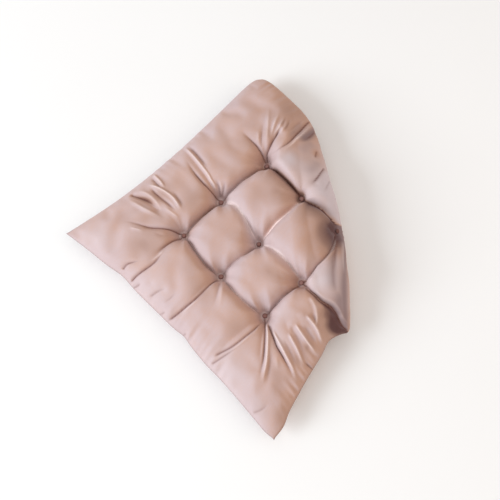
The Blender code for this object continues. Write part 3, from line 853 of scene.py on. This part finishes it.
def above_the_tuck(reach, aside):
    """Share by which a point of the upper layer lies over the tucked corner."""
    low = np.interp(reach, TUCKED_LOW[0], TUCKED_LOW[1])
    high = np.interp(reach, TUCKED_HIGH[0], TUCKED_HIGH[1])
    tip = TUCKED_LOW[0][0]
    share = smooth_step((reach - tip + TUCK_MARGIN) / TUCK_EASE)
    share = share * smooth_step((aside - low + TUCK_MARGIN) / TUCK_EASE)
    share = share * smooth_step((high + TUCK_MARGIN - aside) / TUCK_EASE)
    return np.where(reach > ROLL_START - TUCK_EASE, 1.0, share)


def bend(plan, offset):
    """Place plan points at an offset from the middle of the cushion, with the corner turned under."""
    length, reach, height, slope = BEND
    ahead = plan @ TOWARDS
    aside = plan @ SIDEWAYS
    run = np.clip(ahead - RAMP_START, 0.0, None)
    bent = ahead > RAMP_START
    lift = 1.0 - (1.0 - LIFT_AT_ENDS) * smooth_step(
        (np.abs(aside) - LIFT_MIDDLE) / (LIFT_END - LIFT_MIDDLE)
    )
    forward = np.where(bent, np.interp(run, length, reach), ahead)
    raised = np.where(bent, np.interp(run, length, height), 0.0) * lift
    angle = np.where(bent, np.interp(run, length, slope), 0.0)
    tangent_x = np.cos(angle)
    tangent_z = lift * np.sin(angle)
    size = np.hypot(tangent_x, tangent_z)
    normal_x = -tangent_z / size
    normal_z = tangent_x / size
    tucked = run > length[int(np.argmax(reach))]
    over = np.where(tucked, 1.0, above_the_tuck(forward, aside))
    room = BELLY + (np.interp(run, length, ROOM) * lift - BELLY) * over
    offset = np.maximum(offset, -room)
    forward = forward + normal_x * offset
    raised = SEAM_HEIGHT + raised + normal_z * offset
    points = np.outer(forward, TOWARDS) + np.outer(aside, SIDEWAYS)
    points = points - (MIDDLE_X, MIDDLE_Y)
    return np.column_stack([points, np.maximum(raised, 0.0)])


def over_the_roll(plan):
    """Share by which a plan point is on the roll or past it."""
    return smooth_step((plan @ TOWARDS - ROLL_START + ROLL_EASE_IN) / ROLL_EASE)


def dented_share(plan):
    """Share of the dents that is left at a plan point, as they fade out on the roll."""
    return 1.0 - DENTS_LOST * smooth_step((plan @ TOWARDS - DENTS_END) / DENTS_EASE)


def swell_of(plan):
    """Extra height along the roll, in metres."""
    total = np.zeros(len(plan))
    for swell in rows_of(SWELL_COLUMNS, SWELLS):
        away = plan @ SIDEWAYS - swell["aside"] * MM
        total += swell["height"] * MM * falloff(away, swell["reach"] * MM)
    return total


def loft_of(s, t, plan):
    """Height of the face above the sewn rim, before its relief."""
    roll = over_the_roll(plan)
    loft = CROWN * (1.0 - ROLL_FLATTENED * roll) + swell_of(plan) * roll
    return loft * puff_of(s, t)


def plain_surface(s, t):
    """The face of the solid in the frame, without the fine relief."""
    plan = plan_of(s, t)
    loft = loft_of(s, t, plan)
    offset = loft * (1.0 - dents_of(s, t) * dented_share(plan))
    offset -= creases_of(s, t) * np.clip(loft / FULL_LOFT, 0.0, 1.0)
    return bend(plan, np.maximum(offset, LEAST_SHARE * loft))


def seat_of(name):
    """Middle and axis of the flat seat that a button sits on."""
    s, t = tuft_place(name)
    near = np.array([-SEAT, 0.0, SEAT])
    seat_s, seat_t = np.meshgrid(s + near, t + near, indexing="ij")
    points = plain_surface(seat_s.ravel(), seat_t.ravel()).reshape(3, 3, 3)
    along_s = (points[2] - points[0]).sum(axis=0)
    along_t = (points[:, 2] - points[:, 0]).sum(axis=0)
    axis = np.cross(along_s, along_t)
    return points.reshape(9, 3).mean(axis=0), axis / np.linalg.norm(axis)


SEATS = {name: seat_of(name) for name in TUFTS}


def waves(s, t, seed, longest, shortest, count):
    """Smooth uneven relief of about -1 to 1, the same on every run. Its longer waves are higher."""
    draw = np.random.default_rng(seed)
    total = np.zeros_like(s)
    for _ in range(count):
        size = longest * (shortest / longest) ** draw.random()
        angle = draw.random() * 2.0 * np.pi
        phase = draw.random() * 2.0 * np.pi
        along = s * np.cos(angle) + t * np.sin(angle)
        total += np.sin(2.0 * np.pi * along / size + phase) * (size / longest) ** WAVE_POWER
    return total / np.sqrt(count)


def curve_through(path):
    """A smooth line through the points of a path, as a finer list of points in metres."""
    points = np.array(path, dtype=float) * MM
    ends = np.vstack([2 * points[0] - points[1], points, 2 * points[-1] - points[-2]])
    fine = []
    for index in range(1, len(ends) - 2):
        before, start, end, after = ends[index - 1 : index + 3]
        for step in range(FOLD_CURVE_STEPS):
            share = step / FOLD_CURVE_STEPS
            ahead = (end - before) * share
            turn = (2.0 * before - 5.0 * start + 4.0 * end - after) * share**2
            twist = (3.0 * start - before - 3.0 * end + after) * share**3
            fine.append(0.5 * (2.0 * start + ahead + turn + twist))
    fine.append(points[-1])
    return np.array(fine)


def distance_to_path(s, t, points):
    """Distance to a line of points, the share of its length at the nearest place, and the side."""
    runs = np.hypot(*np.diff(points, axis=0).T)
    reached = np.concatenate([[0.0], np.cumsum(runs)])
    nearest = np.full_like(s, np.inf)
    share = np.zeros_like(s)
    side = np.zeros_like(s)
    for index, length in enumerate(runs):
        start = points[index]
        run = points[index + 1] - start
        away, part_way = distance_to_segment(s, t, start, points[index + 1])
        closer = away < nearest
        nearest = np.where(closer, away, nearest)
        share = np.where(closer, (reached[index] + part_way * length) / reached[-1], share)
        side = np.where(closer, np.sign(run[0] * (t - start[1]) - run[1] * (s - start[0])), side)
    return nearest, share, side


def fade(share, fade_in, fade_out):
    """Strength along a line that fades in and out over these shares of its length."""
    rising = 1.0 if fade_in == 0.0 else smooth_step(share / fade_in)
    falling = smooth_step((1.0 - share) / fade_out)
    return rising * falling


def folds_of(s, t):
    """Depth of the traced folds in metres, and their painted shade in hollows and highlight on ridges."""
    total = np.zeros_like(s)
    painted_shade_and_seam = np.zeros_like(s)
    ridge = np.zeros_like(s)
    for fold in rows_of(FOLD_COLUMNS, FOLDS):
        points = curve_through(fold["path"])
        width = fold["width"] * MM
        low = points.min(axis=0) - FOLD_MARGIN * width
        high = points.max(axis=0) + FOLD_MARGIN * width
        near = (s > low[0]) & (s < high[0]) & (t > low[1]) & (t < high[1])
        away, share, _ = distance_to_path(s[near], t[near], points)
        strength = fade(share, fold["fade_in"], fold["fade_out"])
        shape = falloff(away, width, GROOVE_POWER if fold["depth"] > 0.0 else RIDGE_POWER) * strength
        total[near] += fold["depth"] * MM * shape
        steepness = min(np.abs(fold["depth"]) / STEEP_DEPTH, 1.0)
        steepness = steepness * min(NARROW_WIDTH / fold["width"], 1.0) ** 2
        narrow = falloff(away, max(LINE_WIDTH, LINE_SHARE * width), LINE_POWER) * strength * steepness
        line = painted_shade_and_seam if fold["depth"] > 0.0 else ridge
        line[near] = np.maximum(line[near], narrow)
    return total, painted_shade_and_seam, ridge


def slots_of(s, t):
    """Share of a narrow sewn pinch along each channel, and height of the folds along them."""
    slots = np.zeros_like(s)
    ridges = np.zeros_like(s)
    for line in rows_of(CHANNEL_COLUMNS, CHANNELS):
        away, share = distance_to_channel(s, t, line, fine=True)
        depth = line["middle"] + (CHANNEL_DEPTH_ENDS - line["middle"]) * np.abs(2.0 * share - 1.0)
        shape = falloff(away, SLOT_WIDTH, GROOVE_POWER)
        slots = np.maximum(slots, line["slot"] * depth / CHANNEL_DEPTH_ENDS * shape)
        shape = falloff(away, RIDGE_WIDTH, LINE_POWER) * fade(share, RIDGE_FADE, RIDGE_FADE)
        ridges = np.maximum(ridges, line["ridge"] * MM * shape)
    return slots, ridges


def painted_light_and_shade(s, t):
    """Painted light above zero and painted shade below, at pattern points."""
    total = np.zeros_like(s)
    for patch in rows_of(PAINTED_TONE_PATCH_COLUMNS, PAINTED_TONE_PATCHES):
        away = np.hypot(s - patch["s"] * MM, t - patch["t"] * MM)
        total += patch["tone"] * falloff(away, patch["reach"] * MM)
    for shade in rows_of(PAINTED_TONE_LINE_COLUMNS, PAINTED_TONE_LINES):
        away, share, side = distance_to_path(s, t, curve_through(shade["path"]))
        strength = shade["tone"] * fade(share, shade["fade_in"], shade["fade_out"])
        on_side = side * shade["side"] >= 0.0
        total += strength * falloff(away, shade["reach"] * MM, GROOVE_POWER) * on_side
    return np.clip(total, -1.0, 1.0)


def painted_grey_shade_of(s, t):
    """Share of painted greyish shade, at pattern points."""
    total = np.zeros_like(s)
    for painted_grey_shade in rows_of(PAINTED_GREY_SHADE_COLUMNS, PAINTED_GREY_SHADES):
        away, share, _ = distance_to_path(s, t, curve_through(painted_grey_shade["path"]))
        strength = painted_grey_shade["strength"] * fade(share, painted_grey_shade["fade_in"], painted_grey_shade["fade_out"])
        total = np.maximum(total, strength * falloff(away, painted_grey_shade["width"] * MM))
    return total


def gathers_of(s, t):
    """Fine pleats that run out from each tuft, in metres."""
    total = np.zeros_like(s)
    for index, name in enumerate(TUFTS):
        draw = np.random.default_rng(GATHER_SEED + index)
        tuft_s, tuft_t = tuft_place(name)
        away = distance_to_tuft(s, t, name)
        turn = np.arctan2(t - tuft_t, s - tuft_s)
        pleats = np.zeros_like(s)
        for count in GATHER_COUNTS:
            phase = draw.random() * 2.0 * np.pi
            strength = GATHER_LEAST + (1.0 - GATHER_LEAST) * draw.random()
            pleats += strength * (0.5 - np.abs(np.sin(0.5 * count * turn + phase)))
        ramp = smooth_step((away - GATHER_START) / GATHER_EASE)
        total += pleats * ramp * falloff(away, GATHER_REACH, LINE_POWER)
    return GATHER_HEIGHT * total


def seam_puckers_of(s, t):
    """Small puckers where the two layers are sewn together on the rim, in metres."""
    from_rim, along = rim_of(s, t)
    along = along + PUCKER_START_S * np.sign(s) + PUCKER_START_T * np.sign(t)
    draw = np.random.default_rng(PUCKER_SEED)
    puckers = np.zeros_like(s)
    for length in PUCKER_LENGTHS:
        phase = draw.random() * 2.0 * np.pi
        sway = PUCKER_SWAY * np.sin(along * PUCKER_SWAY_RATE)
        puckers += np.sin(2.0 * np.pi * along / length + phase + sway)
    uneven = waves(s, t, seed=11, longest=0.200, shortest=0.060, count=6)
    patches = np.clip(PUCKERED_MEAN + PUCKERED_SPREAD * uneven, 0.0, PUCKERED_MOST)
    return PUCKER_HEIGHT * puckers * patches * falloff(from_rim, PUCKER_REACH, PUCKER_POWER)


def seam_of(s, t):
    """Shade of the sewn rim, broken up by its stitches."""
    from_rim, along = rim_of(s, t)
    stitches = 1.0 - STITCH_BREAK + STITCH_BREAK * np.sin(2.0 * np.pi * along / STITCH_LENGTH)
    return SEAM_SHADE * stitches * falloff(from_rim, SEAM_WIDTH)


def kept_above(value, low, rounding):
    """The value, kept above a low one with a rounded turn."""
    return 0.5 * (value + low + np.sqrt((value - low) ** 2 + rounding**2))


def upper_surface(s, t):
    """The velvet face with all its relief, with painted shade in its hollows, painted highlights on its
    ridges, painted greyish shade, and painted light and shade.
    """
    plan = plan_of(s, t)
    loft = loft_of(s, t, plan)
    dented = dented_share(plan)
    dents = dents_of(s, t, fine=True) * dented
    folds, painted_shade_and_seam, ridge = folds_of(s, t)
    slots, ridges = slots_of(s, t)
    slots = slots * dented
    full = np.clip(loft / FULL_LOFT, 0.0, 1.0)
    offset = loft * (1.0 - dents)
    offset -= creases_of(s, t, fine=True) * full
    offset -= folds * np.clip(loft / FOLD_LOFT, 0.0, 1.0)
    offset -= (SLOT_DEPTH * slots - ridges) * full
    offset += gathers_of(s, t) * full
    offset += seam_puckers_of(s, t) * np.clip(loft / PUCKER_LOFT, 0.0, 1.0)
    drift = waves(s, t, seed=3, longest=0.090, shortest=0.028, count=14)
    offset += DRIFT_HEIGHT * drift * full * (1.0 - DRIFT_DENTED * dents)
    rounding = np.minimum(LOWEST_ROUNDING, LOWEST_ROUNDING_SHARE * loft)
    points = bend(plan, kept_above(offset, LOWEST_SHARE * loft, rounding))
    for name, (middle, axis) in SEATS.items():
        away = distance_to_tuft(s, t, name)
        share = smooth_step((SEAT_FLAT + SEAT_EASE - away) / SEAT_EASE)
        above = (points - middle) @ axis
        points = points - np.outer(above * share, axis)
        # A painted highlight round the pits of these tufts
        if name in LIT_TUFTS:
            ridge = np.maximum(ridge, PIT_GLOW * falloff(away, PIT_GLOW_REACH) * dented)
    # Painted shade in narrow hollows and pinches, with the dark seam along the rim
    painted_shade_and_seam = np.maximum(painted_shade_and_seam, seam_of(s, t))
    painted_shade_and_seam = np.maximum(painted_shade_and_seam, np.clip(SLOT_SHADE * slots, 0.0, 1.0))
    # Painted highlight on narrow ridges and on the folds along channels
    shine = np.maximum(ridge, np.clip(ridges / MM, 0.0, 1.0)) * full
    return points, dict(zip(LOOKS, (painted_shade_and_seam, shine, painted_light_and_shade(s, t), painted_grey_shade_of(s, t))))


def under_surface(s, t):
    """The plain under sheet, with shallow dents, and what its velvet shows."""
    plan = plan_of(s, t)
    offset = BELLY * puff_of(s, t) * (1.0 - UNDER_DENTED * dents_of(s, t))
    offset += seam_puckers_of(s, t) * np.clip(offset / PUCKER_LOFT, 0.0, 1.0)
    looks = {name: np.zeros_like(s) for name in LOOKS}
    looks["painted_shade_and_seam"] = seam_of(s, t)
    return bend(plan, -offset), looks


def sheet_of(steps, surface):
    """The pattern grid of one sheet, and its surface."""
    knots = np.linspace(-HALF, HALF, steps + 1)
    s, t = np.meshgrid(knots, knots, indexing="ij")
    return s.ravel(), t.ravel(), *surface(s.ravel(), t.ravel())


def closed_faces(steps):
    """Faces of two sheets that share the rim, and which under points are their own."""
    row = steps + 1
    under_row = steps // UNDER_SPAN + 1
    inner_places = range(1, under_row - 1)
    inner = [i * under_row + j for i in inner_places for j in inner_places]

    def under_point(x, y):
        """Index of the under sheet's point at a place of the upper grid, if it has one there."""
        if x in (0, steps) or y in (0, steps):
            return x * row + y
        if x % UNDER_SPAN or y % UNDER_SPAN:
            return None
        return row * row + (x // UNDER_SPAN - 1) * (under_row - 2) + y // UNDER_SPAN - 1

    corners = [x * row + y for x in range(steps) for y in range(steps)]
    faces = [(first, first + row, first + row + 1, first + 1) for first in corners]
    span = range(UNDER_SPAN)
    outline = [(0, step) for step in span] + [(step, UNDER_SPAN) for step in span]
    outline += [(UNDER_SPAN - i, UNDER_SPAN - j) for i, j in outline]
    for x in range(0, steps, UNDER_SPAN):
        for y in range(0, steps, UNDER_SPAN):
            ring = [under_point(x + i, y + j) for i, j in outline]
            faces.append(tuple(point for point in ring if point is not None))
    return faces, inner


def held_share(s, t):
    """How firmly the cloth is held at pattern points: at tufts, channels, rim and turned corner."""
    held = np.full_like(s, HELD_EVERYWHERE)
    for name in TUFTS:
        away = distance_to_tuft(s, t, name)
        held = np.maximum(held, 1.0 - smooth_step((away - HELD_TUFT_FLAT) / HELD_TUFT_EASE))
    for line in rows_of(CHANNEL_COLUMNS, CHANNELS):
        away, _ = distance_to_channel(s, t, line, fine=True)
        held = np.maximum(held, HELD_CHANNEL * falloff(away, HELD_CHANNEL_WIDTH))
    from_rim, _ = rim_of(s, t)
    held = np.maximum(held, HELD_RIM * falloff(from_rim, HELD_RIM_WIDTH))
    turned = (plan_of(s, t) @ TOWARDS - ROLL_START + HELD_TURN_IN) / HELD_TURN_EASE
    return np.maximum(held, smooth_step(turned))


def add_object(name, data):
    """A new object in the scene, with this mesh, lamp or camera."""
    added = bpy.data.objects.new(name, data)
    bpy.context.scene.collection.objects.link(added)
    return added


def blown_up():
    """Shift of each point of the upper sheet when the cover is blown up by a cloth simulation."""
    s, t, upper, _ = sheet_of(CLOTH_STEPS, upper_surface)
    _, _, under, _ = sheet_of(CLOTH_STEPS // UNDER_SPAN, under_surface)
    faces, inner = closed_faces(CLOTH_STEPS)
    start = np.vstack([upper, under[inner]])
    mesh = bpy.data.meshes.new("blown_up")
    mesh.from_pydata([tuple(p) for p in start], [], faces)
    mesh.update()
    piece = add_object("blown_up", mesh)
    held = np.concatenate([held_share(s, t), np.ones(len(inner))])
    pins = piece.vertex_groups.new(name="pins")
    for index, weight in enumerate(held):
        pins.add([index], float(weight), "REPLACE")
    cloth = piece.modifiers.new("cloth", "CLOTH")
    for key, value in CLOTH_SETTINGS.items():
        setattr(cloth.settings, key, value)
    cloth.settings.effector_weights.gravity = 0.0
    cloth.collision_settings.use_collision = False
    cloth.point_cache.frame_start = 1
    cloth.point_cache.frame_end = CLOTH_FRAMES
    for frame_number in range(1, CLOTH_FRAMES + 1):
        bpy.context.scene.frame_set(frame_number)
    result = piece.evaluated_get(bpy.context.evaluated_depsgraph_get()).data
    moved = np.empty(3 * len(start))
    result.vertices.foreach_get("co", moved)
    shift = (moved.reshape(-1, 3) - start)[: len(s)]
    bpy.data.objects.remove(piece)
    bpy.data.meshes.remove(mesh)
    bpy.context.scene.frame_set(1)
    length = np.linalg.norm(shift, axis=1, keepdims=True) + TINY
    shift = shift * (CLOTH_REACH * np.tanh(length / CLOTH_REACH) / length)
    inside = TUFT_STEP + TAUT_EASE / 2.0 - np.maximum(np.abs(s), np.abs(t))
    shift = shift * (1.0 - CLOTH_TAUT * smooth_step(inside / TAUT_EASE))[:, None]
    for name in TUFTS:
        past_seat = distance_to_tuft(s, t, name) - SEAT_FLAT - SEAT_EASE
        shift = shift * smooth_step(past_seat / SHIFT_EASE)[:, None]
    return shift.reshape(CLOTH_STEPS + 1, CLOTH_STEPS + 1, 3)


def softened(field):
    """A grid of shifts with its finest ripple taken out."""
    for axis in (0, 1):
        padded = np.pad(field, [(1, 1) if axis == other else (0, 0) for other in range(3)], "edge")
        before = np.take(padded, range(0, field.shape[axis]), axis)
        after = np.take(padded, range(2, field.shape[axis] + 2), axis)
        field = 0.25 * before + 0.5 * field + 0.25 * after
    return field


def doubled(field):
    """The same grid of shifts with a smooth value put in between each two."""
    for axis in (0, 1):
        field = np.moveaxis(field, axis, 0)
        padded = np.concatenate([2 * field[:1] - field[1:2], field, 2 * field[-1:] - field[-2:-1]])
        between = (9.0 * (padded[1:-2] + padded[2:-1]) - padded[:-3] - padded[3:]) / 16.0
        finer = np.empty((2 * len(field) - 1, *field.shape[1:]))
        finer[0::2] = field
        finer[1::2] = between
        field = np.moveaxis(finer, 0, axis)
    return field


def make_cover():
    """One closed cover: a fine upper sheet and a coarser under sheet that share the rim."""
    upper_s, upper_t, upper, looks = sheet_of(UPPER_STEPS, upper_surface)
    under_s, under_t, under, under_looks = sheet_of(UPPER_STEPS // UNDER_SPAN, under_surface)
    upper = upper + doubled(softened(softened(blown_up()))).reshape(-1, 3)
    faces, inner = closed_faces(UPPER_STEPS)
    points = np.vstack([upper, under[inner]])
    pattern = np.column_stack(
        [np.concatenate([upper_s, under_s[inner]]), np.concatenate([upper_t, under_t[inner]])]
    )
    looks = {name: np.concatenate([looks[name], under_looks[name][inner]]) for name in LOOKS}
    return make_piece("cushion_cover", points, faces, pattern, looks)


def make_piece(name, points, faces, pattern, looks):
    """A smooth-shaded mesh with cloth coordinates as UVs, and what its velvet shows as attributes."""
    mesh = bpy.data.meshes.new(name)
    mesh.from_pydata([tuple(p) for p in points], [], faces)
    mesh.update()
    corners = np.empty(len(mesh.loops), dtype=np.int32)
    mesh.loops.foreach_get("vertex_index", corners)
    uv = mesh.uv_layers.new(name="cloth")
    uv.data.foreach_set("uv", (pattern[corners] / (2.0 * HALF) + 0.5).ravel())
    for attribute_name, values in looks.items():
        attribute = mesh.attributes.new(attribute_name, "FLOAT", "POINT")
        attribute.data.foreach_set("value", np.asarray(values, dtype=np.float32))
    mesh.polygons.foreach_set("use_smooth", [True] * len(mesh.polygons))
    return add_object(name, mesh)


class Nodes:
    """Short calls for building a material's nodes."""

    def __init__(self, name):
        self.material = bpy.data.materials.new(name)
        self.material.use_nodes = True
        self.tree = self.material.node_tree
        self.shader = self.tree.nodes["Principled BSDF"]

    def feed(self, node, inputs):
        """Link each input that is given a socket, and set each other one to its value."""
        for slot, value in inputs.items():
            if isinstance(value, bpy.types.NodeSocket):
                self.tree.links.new(value, node.inputs[slot])
            else:
                node.inputs[slot].default_value = value

    def add(self, kind, inputs=None, **settings):
        node = self.tree.nodes.new(kind)
        for key, value in settings.items():
            setattr(node, key, value)
        self.feed(node, inputs or {})
        return node

    def attribute(self, name):
        return self.add("ShaderNodeAttribute", attribute_name=name).outputs["Fac"]

    def noise(self, vector, scale, detail, roughness):
        inputs = {"Vector": vector, "Scale": scale, "Detail": detail, "Roughness": roughness}
        return self.add("ShaderNodeTexNoise", inputs).outputs["Fac"]

    def stretched(self, vector, scale):
        return self.add("ShaderNodeMapping", {"Vector": vector, "Scale": scale}).outputs["Vector"]

    def bands(self, vector, direction, scale, distortion):
        inputs = {"Vector": vector, "Scale": scale, "Distortion": distortion}
        wave = self.add("ShaderNodeTexWave", inputs, wave_type="BANDS", bands_direction=direction)
        return wave.outputs["Fac"]

    def spread(self, value, low, high, to_low=0.0, to_high=1.0):
        """A value from low to high, carried over to another range."""
        inputs = {"Value": value, "From Min": low, "From Max": high, "To Min": to_low, "To Max": to_high}
        return self.add("ShaderNodeMapRange", inputs).outputs["Result"]

    def mix(self, share, first, second):
        """A mix of two colours."""
        inputs = {0: share, 6: first, 7: second}
        return self.add("ShaderNodeMix", inputs, data_type="RGBA").outputs[2]

    def math(self, operation, first, second):
        return self.add("ShaderNodeMath", {0: first, 1: second}, operation=operation).outputs["Value"]

    def bump(self, height, strength, distance, before=None):
        inputs = {"Height": height, "Strength": strength, "Distance": distance}
        if before is not None:
            inputs["Normal"] = before
        return self.add("ShaderNodeBump", inputs).outputs["Normal"]


def velvet(name, pale, warm, fold, light, tan, deep, painted_grey_shade, ridge):
    """Velvet with painted light: slopes that face the key lamp across the view are painted pale and the
    others warm.
    """
    nodes = Nodes(name)
    coordinates = nodes.add("ShaderNodeTexCoord")
    place = coordinates.outputs["Object"]
    cloth = nodes.add("ShaderNodeUVMap", uv_map="cloth").outputs["UV"]
    brushing = nodes.stretched(cloth, (230.0, 34.0, 1.0))
    fibres = nodes.stretched(cloth, (520.0, 150.0, 1.0))
    broad = nodes.noise(place, scale=26.0, detail=3.0, roughness=0.55)
    streaks = nodes.noise(brushing, scale=1.0, detail=3.0, roughness=0.6)
    fine = nodes.noise(fibres, scale=1.0, detail=2.0, roughness=0.6)
    pile = nodes.noise(place, scale=900.0, detail=2.0, roughness=0.6)
    # Painted light and shade: the pale colour takes over as the normal turns towards the key lamp
    slope = {0: coordinates.outputs["Normal"], 1: PAINTED_LIGHT_DIRECTION}
    toward_painted_light = nodes.add("ShaderNodeVectorMath", slope, operation="DOT_PRODUCT").outputs["Value"]
    painted_lit_share = nodes.spread(toward_painted_light, low=-0.50, high=0.50)
    mottle = nodes.math("ADD", nodes.math("MULTIPLY", broad, 0.6), nodes.math("MULTIPLY", streaks, 0.4))
    mottle = nodes.spread(mottle, low=0.36, high=0.64, to_low=-0.20, to_high=0.20)
    mottle = nodes.math("ADD", mottle, nodes.spread(fine, low=0.3, high=0.7, to_low=-0.13, to_high=0.13))
    tone = nodes.mix(nodes.math("ADD", painted_lit_share, mottle), warm, pale)
    # Painted light towards the light colour, and painted shade towards tan and then deep
    painted_tone = nodes.attribute("painted_light_and_shade")
    tone = nodes.mix(nodes.spread(painted_tone, low=0.0, high=1.0), tone, light)
    tone = nodes.mix(nodes.spread(painted_tone, low=0.0, high=-0.5), tone, tan)
    tone = nodes.mix(nodes.spread(painted_tone, low=-0.3, high=-1.0), tone, deep)
    # Painted greyish shade
    tone = nodes.mix(nodes.attribute("painted_grey_shade"), tone, painted_grey_shade)
    # Painted highlight on ridges and round pits
    tone = nodes.mix(nodes.math("MULTIPLY", nodes.attribute("shine"), 0.80), tone, ridge)
    # Painted shade in narrow hollows and pinches and at button edges, and the dark seam
    tone = nodes.mix(nodes.math("MULTIPLY", nodes.attribute("painted_shade_and_seam"), 0.95), tone, fold)
    across = nodes.bands(cloth, "X", scale=110.0, distortion=0.6)
    along = nodes.bands(cloth, "Y", scale=110.0, distortion=0.6)
    normal = nodes.bump(nodes.math("MULTIPLY", across, along), strength=0.10, distance=0.0002)
    normal = nodes.bump(streaks, strength=0.35, distance=0.0008, before=normal)
    normal = nodes.bump(pile, strength=0.18, distance=0.0003, before=normal)
    normal = nodes.bump(broad, strength=0.10, distance=0.0030, before=normal)
    looks = {
        "Base Color": tone,
        "Roughness": nodes.spread(streaks, low=0.3, high=0.7, to_low=0.72, to_high=0.90),
        "Specular IOR Level": 0.22,
        "Sheen Weight": 0.25,
        "Sheen Roughness": 0.45,
        "Sheen Tint": (1.0, 0.86, 0.85, 1.0),
        "Normal": normal,
    }
    nodes.feed(nodes.shader, looks)
    return nodes.material


def button_rings(name):
    """Points of a button's rings from its foot to its top, and the painted shade at each."""
    rings = list(BUTTON_FOOT)
    shoulder = BUTTON_FOOT[-1][1]
    for step in range(1, BUTTON_DOME_STEPS):
        angle = np.pi / 2.0 * step / BUTTON_DOME_STEPS
        rings.append((np.cos(angle), shoulder + (1.0 - shoulder) * np.sin(angle)))
    phase = np.random.default_rng(ord(name)).random() * 2.0 * np.pi
    points = []
    painted_shade_and_seam = []
    for share, level in rings:
        gathered = PLEAT_DEPTH * smooth_step((share - PLEAT_START) / PLEAT_EASE) * (level > 0.0)
        dimple = DIMPLE_DEPTH * falloff(share, DIMPLE_REACH) * (level > shoulder)
        for side in range(BUTTON_SIDES):
            turned = 2.0 * np.pi * side / BUTTON_SIDES
            pleat = np.abs(np.sin(PLEAT_WAVES * turned + phase)) - 0.5
            radius = BUTTON_RADIUS * share * (TAKEN_IN + gathered * pleat)
            rise = (BUTTON_EDGE + BUTTON_DOME) * (level - dimple)
            points.append((radius * np.cos(turned), radius * np.sin(turned), rise))
            # Painted shade at the edge and in the low pleats
            edge = EDGE_SHADE * (share > EDGE_FROM)
            low = PLEAT_SHADE * (pleat < PLEAT_LOW) * (share > PLEATS_FROM)
            painted_shade_and_seam.append(min(edge + low, 1.0))
    return np.array(points), np.maximum(painted_shade_and_seam, PAINTED_BUTTON_SHADES.get(name, 0.0))


def make_button(name):
    """A small covered button: a shallow dome with gathered cloth round its edge."""
    middle, axis = SEATS[name]
    turn = Vector(axis).to_track_quat("Z", "Y").to_matrix().to_4x4()
    place = np.array(Matrix.Translation(Vector(middle + axis * BUTTON_GAP)) @ turn)
    points, painted_shade_and_seam = button_rings(name)
    top = len(points) - BUTTON_SIDES
    faces = []
    for low in range(0, top, BUTTON_SIDES):
        for side in range(BUTTON_SIDES):
            first = low + side
            second = low + (side + 1) % BUTTON_SIDES
            faces.append((first, second, second + BUTTON_SIDES, first + BUTTON_SIDES))
    faces.append(tuple(range(BUTTON_SIDES))[::-1])
    faces.append(tuple(range(top, top + BUTTON_SIDES)))
    placed = points @ place[:3, :3].T + place[:3, 3]
    pattern = points[:, :2] + np.array(tuft_place(name))
    looks = {look: np.zeros(len(points)) for look in LOOKS}
    looks["painted_shade_and_seam"] = painted_shade_and_seam
    return make_piece("covered_button_" + name, placed, faces, pattern, looks)


def make_camera():
    """The camera of the photograph."""
    data = bpy.data.cameras.new("camera")
    data.lens = LENS
    data.sensor_width = SENSOR_WIDTH
    camera = add_object("camera", data)
    turn = np.column_stack([RIGHT, UP, BACK, AIM + BACK * DISTANCE])
    camera.matrix_world = Matrix([*turn.tolist(), [0.0, 0.0, 0.0, 1.0]])
    bpy.context.scene.camera = camera


def make_light():
    """Three large lamps, and soft light from all round."""
    for lamp in rows_of(LAMP_COLUMNS, LAMPS):
        data = bpy.data.lights.new(lamp["name"], "AREA")
        data.shape = "SQUARE"
        data.size = lamp["side"]
        data.energy = lamp["power"]
        data.color = lamp["color"]
        towards = lamp["right"] * RIGHT + lamp["up"] * UP + lamp["back"] * BACK
        direction = towards / np.linalg.norm(towards)
        placed = add_object(lamp["name"], data)
        placed.location = AIM + direction * lamp["distance"]
        placed.rotation_euler = Vector(direction).to_track_quat("Z", "Y").to_euler()
    world = bpy.data.worlds.new("studio")
    world.use_nodes = True
    background = world.node_tree.nodes["Background"]
    background.inputs["Color"].default_value = WORLD_COLOR
    background.inputs["Strength"].default_value = WORLD_STRENGTH
    bpy.context.scene.world = world
    bpy.context.scene.view_settings.view_transform = "Standard"


def make_floor():
    """A wide pale floor, a little below the cushion."""
    nodes = Nodes("pale_floor")
    place = nodes.add("ShaderNodeTexCoord").outputs["Object"]
    cloud = nodes.noise(place, scale=2.0, detail=2.0, roughness=0.5)
    nodes.feed(nodes.shader, {"Base Color": nodes.mix(cloud, FLOOR_DARK, FLOOR_PALE), "Roughness": 0.9})
    mesh = bpy.data.meshes.new("floor")
    corners = [(-1, -1), (1, -1), (1, 1), (-1, 1)]
    mesh.from_pydata([(x * FLOOR_HALF, y * FLOOR_HALF, 0.0) for x, y in corners], [], [(0, 1, 2, 3)])
    mesh.materials.append(nodes.material)
    floor = add_object("floor", mesh)
    floor.location = (0.0, 0.0, -FLOOR_DROP)


make_camera()
make_light()
make_floor()

cover = make_cover()
cover.data.materials.append(velvet("dusty_pink_velvet", **COVER))
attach(cover, "root")
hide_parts("cushion")

button_velvet = velvet("button_velvet", **BUTTONS)
for tuft_name in TUFTS:
    button = make_button(tuft_name)
    button.data.materials.append(button_velvet)
    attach(button, "root")
    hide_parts("button_" + tuft_name)
